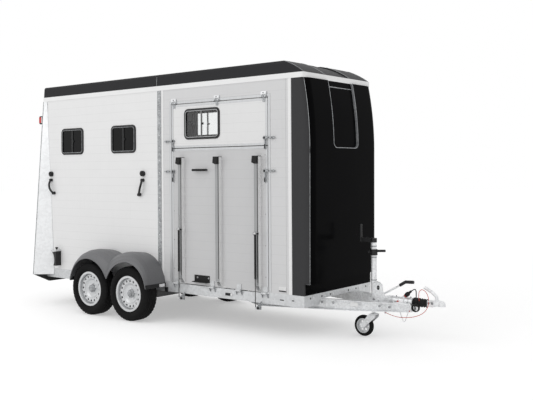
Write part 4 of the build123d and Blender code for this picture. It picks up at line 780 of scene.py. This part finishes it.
# Side flap: its edge profiles
edge_profiles("flap", SIDE_FLAP, FLAP_LOW + 0.001, FLAP_TOP - 0.002, FLAP_LOW + 0.026, FLAP_TOP - 0.026,
              [FLAP_LOW + 0.001, FLAP_TOP - 0.027])

# Inner faces of the ramps: a rubber mat with foot battens
for label, body, centre, u, inward, half in (
        ("side_ramp", SIDE_RAMP, at(OPENING, -HALF + 0.042, 0), AHEAD, LEFT, 0.64),
        ("rear_ramp", REAR_RAMP, at(TAIL + 0.042, 0, 0), LEFT, AHEAD, 0.55)):
    mat, battens = Shape(), Shape()
    mat.slab(centre - u * half + UP * 0.53 - inward * 0.001, u * 2 * half, UP * 1.38, inward * 0.003)
    for count in range(8):
        low = centre - u * (half - 0.02) + UP * (0.60 + 0.17 * count)
        battens.slab(low, u * (2 * half - 0.04), UP * 0.030, inward * 0.0045)
    mat.piece(f"{label}_mat", mesh_mat, body)
    battens.piece(f"{label}_battens", aluminium, body, bevel=0.001)

# Struts: bright bosses on their eyes, and black caps on the ends of the pins
STRUT_TOP, STRUT_FOOT, STRUT_OUT = 1.078, 0.300, 0.022
for way, rail in (("rear", RAILS[0]), ("front", RAILS[-1])):
    x, y = OPENING + rail, -(HALF + RAIL_DEPTH + STRUT_OUT)
    for z, end, reach in ((STRUT_TOP, "cylinder", 0.0108), (STRUT_FOOT, "rod", 0.0118)):
        boss = Shape()
        boss.stud(at(x, y - reach, z), OUTWARD, 0.0085, 0.003)
        boss.piece(f"strut_{end}_boss_{way}", white_fitting, f"strut_{end}_{way}_body")
    for z, end, start, width, body in ((STRUT_TOP, "top", 0.0235, 0.018, SIDE_RAMP),
                                       (STRUT_FOOT, "low", 0.0245, 0.016, "trailer")):
        cap = Shape()
        cap.lathe(at(x + start, y, z), AHEAD, band(width, 0.0125, 0.0025), 20)
        cap.piece(f"strut_{end}_cap_{way}", black_plastic, body)

# Wall fittings: domed centres of the buffers, bolts below them, the chock's flange and its knob
BUFFER_Z = 1.712
for side in SIDES:
    caps, knob, flange = Shape(), Shape(), Shape()
    for x in (-1.433, 0.308):
        caps.lathe(at(x, side * (HALF + 0.029), BUFFER_Z), (0, side, 0),
                   [(0, 0.031), (0.004, 0.029), (0.007, 0.020), (0.0045, 0.012)], 24)
        for dx, dz in ((0, -0.080), (-0.056 if x > 0 else 0.056, -0.252)):
            caps.bolt(at(x + dx, side * (HALF + 0.034), BUFFER_Z + dz), (0, side, 0), 0.006, 0.004)
    knob.lathe(at(-1.290, side * (HALF + 0.042), 0.716), UP,
               [(0, 0.010), (0.014, 0.010), (0.018, 0.019), (0.030, 0.020), (0.036, 0.014)], 20)
    outline = [(-0.066, 0.7125), (0.046, 0.7245), (0.046, 0.700), (-0.012, 0.690), (-0.052, 0.694)]
    points = [at(-1.298 + x, side * y, z) for y in (HALF - 0.001, HALF + 0.0865) for x, z in outline]
    walls = [(i, (i + 1) % 5, (i + 1) % 5 + 5, i + 5) for i in range(5)]
    flange.add(points, [corners[::side] for corners in walls + [(4, 3, 2, 1, 0), (5, 6, 7, 8, 9)]])
    flange.piece(f"chock_flange_{SIDE_NAME[side]}", aluminium, bevel=0.0015)
    caps.piece(f"buffer_caps_{SIDE_NAME[side]}", rubber)
    knob.piece(f"chock_knob_{SIDE_NAME[side]}", black_plastic)

# Walls and sills: the small plate on the right with a painted shadow along its foot, the slots in the sill as
# black painted shade, and the side markers' lens ends and ribs
plate, plate_shadow_line, slots, white_end, mark_ribs = Shape(), Shape(), Shape(), Shape(), Shape()
plate.ring(at(2.352, -HALF, 0.514), AHEAD, UP, -LEFT, rounded(0.092, 0.050, 0.012),
           rounded(0.004, 0.003, 0.001), -0.001, 0.007)
# Painted shadow: a black line along the foot of the plate
plate_shadow_line.box(at(2.308, -HALF, 0.4885), at(2.396, -(HALF + 0.0078), 0.5005))
# Painted shade: black rings where the sill has slots
for x, z, half in ((2.340, 0.401, 0.026), (2.482, 0.407, 0.014)):
    slots.ring(at(x, -HALF, z), AHEAD, UP, -LEFT, rounded(2 * half, 0.011, 0.005),
               rounded(0.004, 0.001, 0.0004), -0.001, 0.0005)
for side in SIDES:
    white_end.box(at(1.653, side * (HALF - 0.001), 0.383), at(1.677, side * (HALF + 0.008), 0.407))
    for count in range(5):
        mark_ribs.box(at(1.590 + 0.012 * count, side * (HALF + 0.007), 0.385),
                      at(1.594 + 0.012 * count, side * (HALF + 0.0095), 0.405))
plate.piece("side_plate", white_flap, bevel=0.001)
plate_shadow_line.piece("side_plate_shadow", black_plastic)
slots.piece("sill_slots", black_plastic)
white_end.piece("side_marker_lens", clear_lens, bevel=0.002)
mark_ribs.piece("side_marker_ribs", black_plastic)

# Black cover of the rear lower hinge of the side ramp
cover = Shape()
cover.slab(at(0.664, -HALF + 0.001, 0.338), AHEAD * 0.046, UP * 0.056, LEFT * -0.014)
cover.piece("sill_cover", black_plastic, bevel=0.003)

# Lamps: tail lamps in three colours, and red and white lenses on the high lamps
for side in SIDES:
    label = SIDE_NAME[side]
    for finish, y0, y1 in ((red_lens, 0.384, 0.470), (amber_lens, 0.473, 0.535),
                           (clear_lens, 0.538, 0.596)):
        part = Shape()
        part.box(at(TAIL + 0.008, side * y0, 0.307), at(TAIL + 0.0035, side * y1, 0.373))
        part.piece(f"tail_{finish.name}_{label}", finish, bevel=0.0015)
    for finish, x0, x1 in ((red_lens, -1.6655, -1.618), (clear_lens, -1.615, -1.602)):
        part = Shape()
        part.slab(at(x0, side * 0.6865, 2.396), AHEAD * (x1 - x0), LEFT * side * 0.005, UP * 0.078)
        part.piece(f"high_{finish.name}_{label}", finish, bevel=0.003)
bumper_bolts = Shape()
for y in (-0.74, -0.60, -0.33, -0.11, 0.11, 0.33, 0.60, 0.74):
    bumper_bolts.bolt(at(TAIL + 0.020, y, 0.384 if abs(y) > 0.7 else 0.388), (-1, 0, 0), 0.008, 0.005)
bumper_bolts.piece("bumper_bolts", zinc)

# Rear ramp and flap: edge profiles, and screws and black strips of painted shade on the rails
back = TAIL - 0.0002
for name, low, high, body in (("rear_ramp", 0.463, 1.993, REAR_RAMP),
                              ("rear_flap", 2.003, 2.612, "rear_flap_body")):
    rim = Shape()
    for way in SIDES:
        rim.box(at(back + 0.003, way * 0.598, low), at(back - 0.0022, way * 0.573, high))
    for z0, z1 in ((low, low + 0.025), (high - 0.025, high)):
        rim.box(at(back + 0.003, -0.573, z0), at(back - 0.0022, 0.573, z1))
    rim.piece(f"{name}_edges", aluminium, body, bevel=0.0008)
rear_screws, rear_shade_strips = Shape(), Shape()
for rail_y in (-0.42, 0.0, 0.42):
    # Painted shade: two black strips down each rear rail
    for y0, y1 in ((0.0165, 0.0215), (-0.0215, -0.0165)):
        rear_shade_strips.box(at(TAIL - 0.049, rail_y + y0, 0.56), at(TAIL - 0.0506, rail_y + y1, 1.81))
    for count in range(6):
        rear_screws.stud(at(TAIL - RAIL_DEPTH, rail_y, 0.60 + count * 0.235), (-1, 0, 0), 0.006, 0.0025)
rear_screws.piece("rear_ramp_screws", rail_metal, REAR_RAMP)
rear_shade_strips.piece("rear_rail_shade_strips", black_plastic, REAR_RAMP)

# Groom's door: its edge profile and the frame round it
for name, outer, inner, thick, body in (
        ("groom_door_edge", rounded(0.624, 1.704, 0.052), rounded(0.584, 1.664, 0.034), 0.0022,
         "groom_door_body"),
        ("groom_door_surround", rounded(0.690, 1.770, 0.085), rounded(0.644, 1.724, 0.062), 0.003,
         "trailer")):
    door_trim = Shape()
    door_trim.ring(at(1.950, HALF, 1.400), AHEAD, UP, LEFT, outer, inner, -0.001, thick)
    door_trim.piece(name, aluminium, body)

# Front cross member: holes as black discs of painted shade, and bolt heads across its face
holes, heads = Shape(), Shape()
for y in (-0.55, -0.34, -0.18, 0.18, 0.34, 0.55):
    holes.lathe(at(NOSE - 0.001, y, 0.430), AHEAD, [(0, 0.011), (0.0016, 0.0105)], 20)
    heads.bolt(at(NOSE, y + 0.055, 0.430), AHEAD, 0.009, 0.007)
holes.piece("front_member_holes", black_plastic)
heads.piece("front_member_bolts", zinc_bright)

# Drawbar: bolts, and slots drawn as black rings of painted shade, along the outer faces of the beams, a small
# plate and red plugs in its holes
BEAM_START, BEAM_END = Vector((1.800, 0.576)), Vector((3.500, 0.070))
beam = (BEAM_END - BEAM_START).normalized()


def beam_spot(side, far, z, proud):
    """A spot on a beam's outer face, with the ways along the beam and out of it."""
    along, out = Vector((beam.x, side * beam.y, 0)), Vector((-beam.y, side * beam.x, 0))
    return at(BEAM_START.x, side * BEAM_START.y, z) + along * far + out * proud, along, out


for side in SIDES:
    bolts, cut = Shape(), Shape()
    for far, z in ((0.22, 0.375), (0.34, 0.375), (0.86, 0.372), (0.98, 0.372), (1.46, 0.365), (1.56, 0.360)):
        spot, along, out = beam_spot(side, far, z, 0.028)
        bolts.bolt(spot, out, 0.009, 0.007)
    # Painted shade: black rings where the beams have slots
    for far in (0.60, 1.20):
        spot, along, out = beam_spot(side, far, 0.352, 0.0285)
        cut.ring(spot, along, UP, out, rounded(0.034, 0.016, 0.0075), rounded(0.004, 0.002, 0.0008),
                 -0.001, 0.0004)
    bolts.piece(f"drawbar_bolts_{SIDE_NAME[side]}", zinc_mid)
    cut.piece(f"drawbar_slots_{SIDE_NAME[side]}", black_plastic)
small_plate = Shape()
spot, along, out = beam_spot(-1, 1.20, 0.367, 0.028)
small_plate.ring(spot, along, UP, out, rounded(0.078, 0.042, 0.004), rounded(0.004, 0.002, 0.0008),
                 -0.001, 0.0016)
small_plate.piece("beam_plate", white_rail)
caps = Shape()
for x, y, z in ((3.338, -0.047, 0.408), (3.312, -0.066, 0.322), (3.484, -0.066, 0.322)):
    caps.lathe(at(x, y, z), OUTWARD, [(-0.004, 0.007), (0.003, 0.009), (0.009, 0.009), (0.013, 0.005)], 16)
caps.piece("red_caps", cable_red)

# Overrun device: rings, bolts and grease points of the housing, and the brake's quadrant and grip
HITCH_Z = 0.410
housing = Shape()
for x, radius in ((3.250, 0.0415), (3.262, 0.0425), (3.395, 0.0415), (3.440, 0.0425), (3.482, 0.0430)):
    housing.lathe(at(x, 0, HITCH_Z), AHEAD, band(0.010, radius, 0.002), 40)
housing.piece("housing_rings", zinc)
tops = Shape()
for x in (3.325, 3.455):
    for y in (-0.070, 0.070):
        tops.bolt(at(x, y, 0.404), UP, 0.009, 0.008)
for x in (3.30, 3.46):
    tops.lathe(at(x, 0, HITCH_Z + 0.039), UP,
               [(0, 0.007), (0.006, 0.007), (0.008, 0.004), (0.013, 0.004)], 12)
tops.piece("housing_bolts", zinc_mid)
head_bolts = Shape()
for x in (3.665, 3.705):
    for side in SIDES:
        head_bolts.bolt(at(x, side * 0.030, 0.418), (0, side, 0), 0.009, 0.006)
head_bolts.piece("coupling_bolts", zinc_mid)
# Painted shade: a black oval where the quadrant has a hole
oval = Shape()
oval.ring(at(3.119, -0.052, 0.526), AHEAD, UP, -LEFT, rounded(0.030, 0.046, 0.0145),
          rounded(0.004, 0.006, 0.0015), -0.001, 0.0006)
oval.piece("quadrant_hole", black_plastic)
teeth = Shape()
for count in range(9):
    angle = math.radians(52 + count * 9)
    x, z = 3.112 + 0.050 * math.cos(angle), 0.535 + 0.050 * math.sin(angle)
    teeth.box(at(x - 0.0018, -0.0525, z - 0.004), at(x + 0.0018, -0.0445, z + 0.004))
teeth.piece("quadrant_teeth", zinc_mid)
grip_rings = Shape()
for count in range(7):
    grip_rings.lathe(at(3.400 + count * 0.013, 0, 0.6022 + count * 0.0006), (1, 0, 0.04),
                     band(0.007, 0.0175, 0.002), 24)
grip_rings.piece("brake_grip_rings", black_plastic)

# Jockey wheel: clamp bolts, bands, ribs and a slot on the tube as a black strip of painted shade, and rings
# on the tyre
JOCKEY_X = 3.041
clamp = Shape()
for z in (0.348, 0.402):
    clamp.bolt(at(JOCKEY_X + 0.020, -0.044, z), OUTWARD, 0.009, 0.008)
clamp.piece("clamp_bolts", zinc_mid)
# Painted shade: a black strip where the tube has its slot
slot_line = Shape()
slot_line.box(at(JOCKEY_X + 0.012, -0.029, 0.425), at(JOCKEY_X + 0.019, -0.0235, 0.572))
slot_line.piece("jockey_slot", black_plastic)
bands = Shape()
for z in (0.590, 0.826, 0.940):
    bands.lathe(at(JOCKEY_X, 0, z), UP, band(0.012, 0.0318, 0.0016), 36)
bands.piece("jockey_bands", zinc_mid)
upright = Shape()
upright.box(at(3.022, -0.0445, 0.572), at(3.030, -0.0375, 0.680))
upright.piece("jockey_side_bar", white_rail, bevel=0.001)
collar = Shape()
for z in (0.860, 0.880, 0.900):
    collar.lathe(at(JOCKEY_X, 0, z), UP, band(0.008, 0.0396, 0.0018), 36)
collar.piece("collar_ribs", black_plastic)
wheel_rings = Shape()
for side in SIDES:
    wheel_rings.lathe(at(JOCKEY_X - 0.120, side * 0.0255, 0.110), (0, side, 0),
                      [(0, 0.093), (0.0022, 0.091), (0.0022, 0.087), (0, 0.085)], 48, closed=True)
wheel_rings.piece("jockey_tyre_rings", tyre_rubber, "jockey_wheel_body")

# Inside: the pads of the bars
for label, x in (("rear", 0.560), ("front", 2.300)):
    pad = Shape()
    pad.lathe(at(x, -0.52, 1.150), LEFT, [(0, 0.021), (0.004, 0.036), (0.30, 0.038), (0.74, 0.038),
                                          (1.036, 0.036), (1.040, 0.021)], 24)
    pad.piece(f"bar_pad_{label}", padding)


def free_cord(name, finish, points, diameter):
    """A round cord on a smooth line guided by its route points."""
    curve = bpy.data.curves.new(name, "CURVE")
    curve.dimensions = "3D"
    curve.bevel_depth = diameter / 2
    curve.bevel_resolution = 4
    curve.resolution_u = 8
    curve.use_fill_caps = True
    line = curve.splines.new("NURBS")
    line.points.add(len(points) - 1)
    for place, point in zip(line.points, points):
        place.co = (*point, 1)
    line.order_u = 3
    line.use_endpoint_u = True
    made = bpy.data.objects.new(name, curve)
    scene.collection.objects.link(made)
    curve.materials.append(finish)
    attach(made, "trailer")
    return made


cable_route = [at(*p) for p in (
    (3.196, -0.055, 0.284), (3.300, -0.066, 0.250), (3.466, -0.080, 0.258), (3.590, -0.084, 0.292),
    (3.668, -0.072, 0.352), (3.688, -0.058, 0.448), (3.662, -0.060, 0.530), (3.606, -0.064, 0.560),
    (3.572, -0.066, 0.508), (3.572, -0.040, 0.434))]
cable = free_cord("breakaway_cord", cable_red, cable_route, 0.006)
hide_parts("breakaway_cable")

# The lamp lead runs from its tied loops up and over into the plug parked on the housing
plug_start, plug_way = at(3.408, -0.025, 0.462), Vector((0.77, 0, 0.64)).normalized()
plug_back = plug_start + plug_way * 0.092
loops = [at(3.547 + 0.036 * math.cos(a), -0.0895 + 0.0110 * a / (2 * math.pi), 0.364 + 0.036 * math.sin(a))
         for a in [math.pi / 2 + math.pi / 6 * step for step in range(37)]]
lead_route = loops + [at(3.548, -0.062, 0.402), at(3.542, -0.044, 0.480), at(3.532, -0.028, 0.545),
                      plug_back + plug_way * 0.022, plug_back - plug_way * 0.006]
lead = free_cord("lamp_cord", rubber, lead_route, 0.010)
plug = Shape()
plug.lathe(plug_start, plug_way,
           [(0, 0.0165), (0.001, 0.0175), (0.016, 0.0175), (0.0165, 0.0205), (0.020, 0.0215),
            (0.046, 0.0215), (0.054, 0.0185), (0.056, 0.0135), (0.090, 0.0105), (0.092, 0.0075)], 32)
across = plug_way.orthogonal().normalized()
PLUG_RIBS = 12
for step in range(PLUG_RIBS):
    angle = 2 * math.pi * step / PLUG_RIBS
    spoke = across * math.cos(angle) + plug_way.cross(across) * math.sin(angle)
    around = plug_way.cross(spoke)
    plug.slab(plug_start + plug_way * 0.021 + spoke * 0.0205 - around * 0.0015, plug_way * 0.024,
              around * 0.003, spoke * 0.002)
plug = plug.piece("lamp_plug", rubber)
ring = Shape()
ring.lathe(plug_start + plug_way * 0.004, plug_way, band(0.008, 0.0190, 0.0012, 0.001), 32)
ring = ring.piece("lamp_plug_ring", cable_red)
tie = Shape()
tie.box(at(3.539, -0.0945, 0.3925), at(3.555, -0.0515, 0.4075))
tie.piece("lead_tie", rubber, bevel=0.003)
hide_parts("lamp_lead")

# Floor: white, with the object's soft shadow
reach = 60
floor_mesh = bpy.data.meshes.new("floor")
floor_mesh.from_pydata([(-reach, -reach, 0), (reach, -reach, 0), (reach, reach, 0), (-reach, reach, 0)], [],
                       [(0, 1, 2, 3)])
floor = bpy.data.objects.new("floor", floor_mesh)
scene.collection.objects.link(floor)
floor_finish, floor_shader = new_material("floor_finish")
floor_shader.inputs["Base Color"].default_value = (0.74, 0.74, 0.74, 1)
floor_shader.inputs["Roughness"].default_value = 0.95
floor_shader.inputs["Specular IOR Level"].default_value = 0.0
floor_shader.inputs["Emission Color"].default_value = (1, 1, 1, 1)
link(floor_finish, spread(floor_finish, shown_to(floor_finish), 0.0, 1.0, 0.0, 0.39),
     floor_shader.inputs["Emission Strength"])
floor_mesh.materials.append(floor_finish)

# Surroundings: plain light on the object, and pure white where they are seen or reflected
world = bpy.data.worlds.new("surroundings")
scene.world = world
world.use_nodes = True
sky = world.node_tree.nodes["Background"]
sky.inputs["Color"].default_value = (1, 1, 1, 1)
link(world, spread(world, shown_to(world), 0.0, 1.0, 0.84, 1.0), sky.inputs["Strength"])


def soft_light(name, place, aim, width, height, power):
    """An area light aimed at a point."""
    data = bpy.data.lights.new(name, "AREA")
    data.shape = "RECTANGLE"
    data.size, data.size_y, data.energy = width, height, power
    lamp = bpy.data.objects.new(name, data)
    lamp.location = place
    lamp.rotation_mode = "QUATERNION"
    lamp.rotation_quaternion = (Vector(aim) - Vector(place)).to_track_quat("-Z", "Y")
    scene.collection.objects.link(lamp)


soft_light("key", (-3.0, -9.0, 7.0), (0, 0, 1.2), 7, 5, 175)
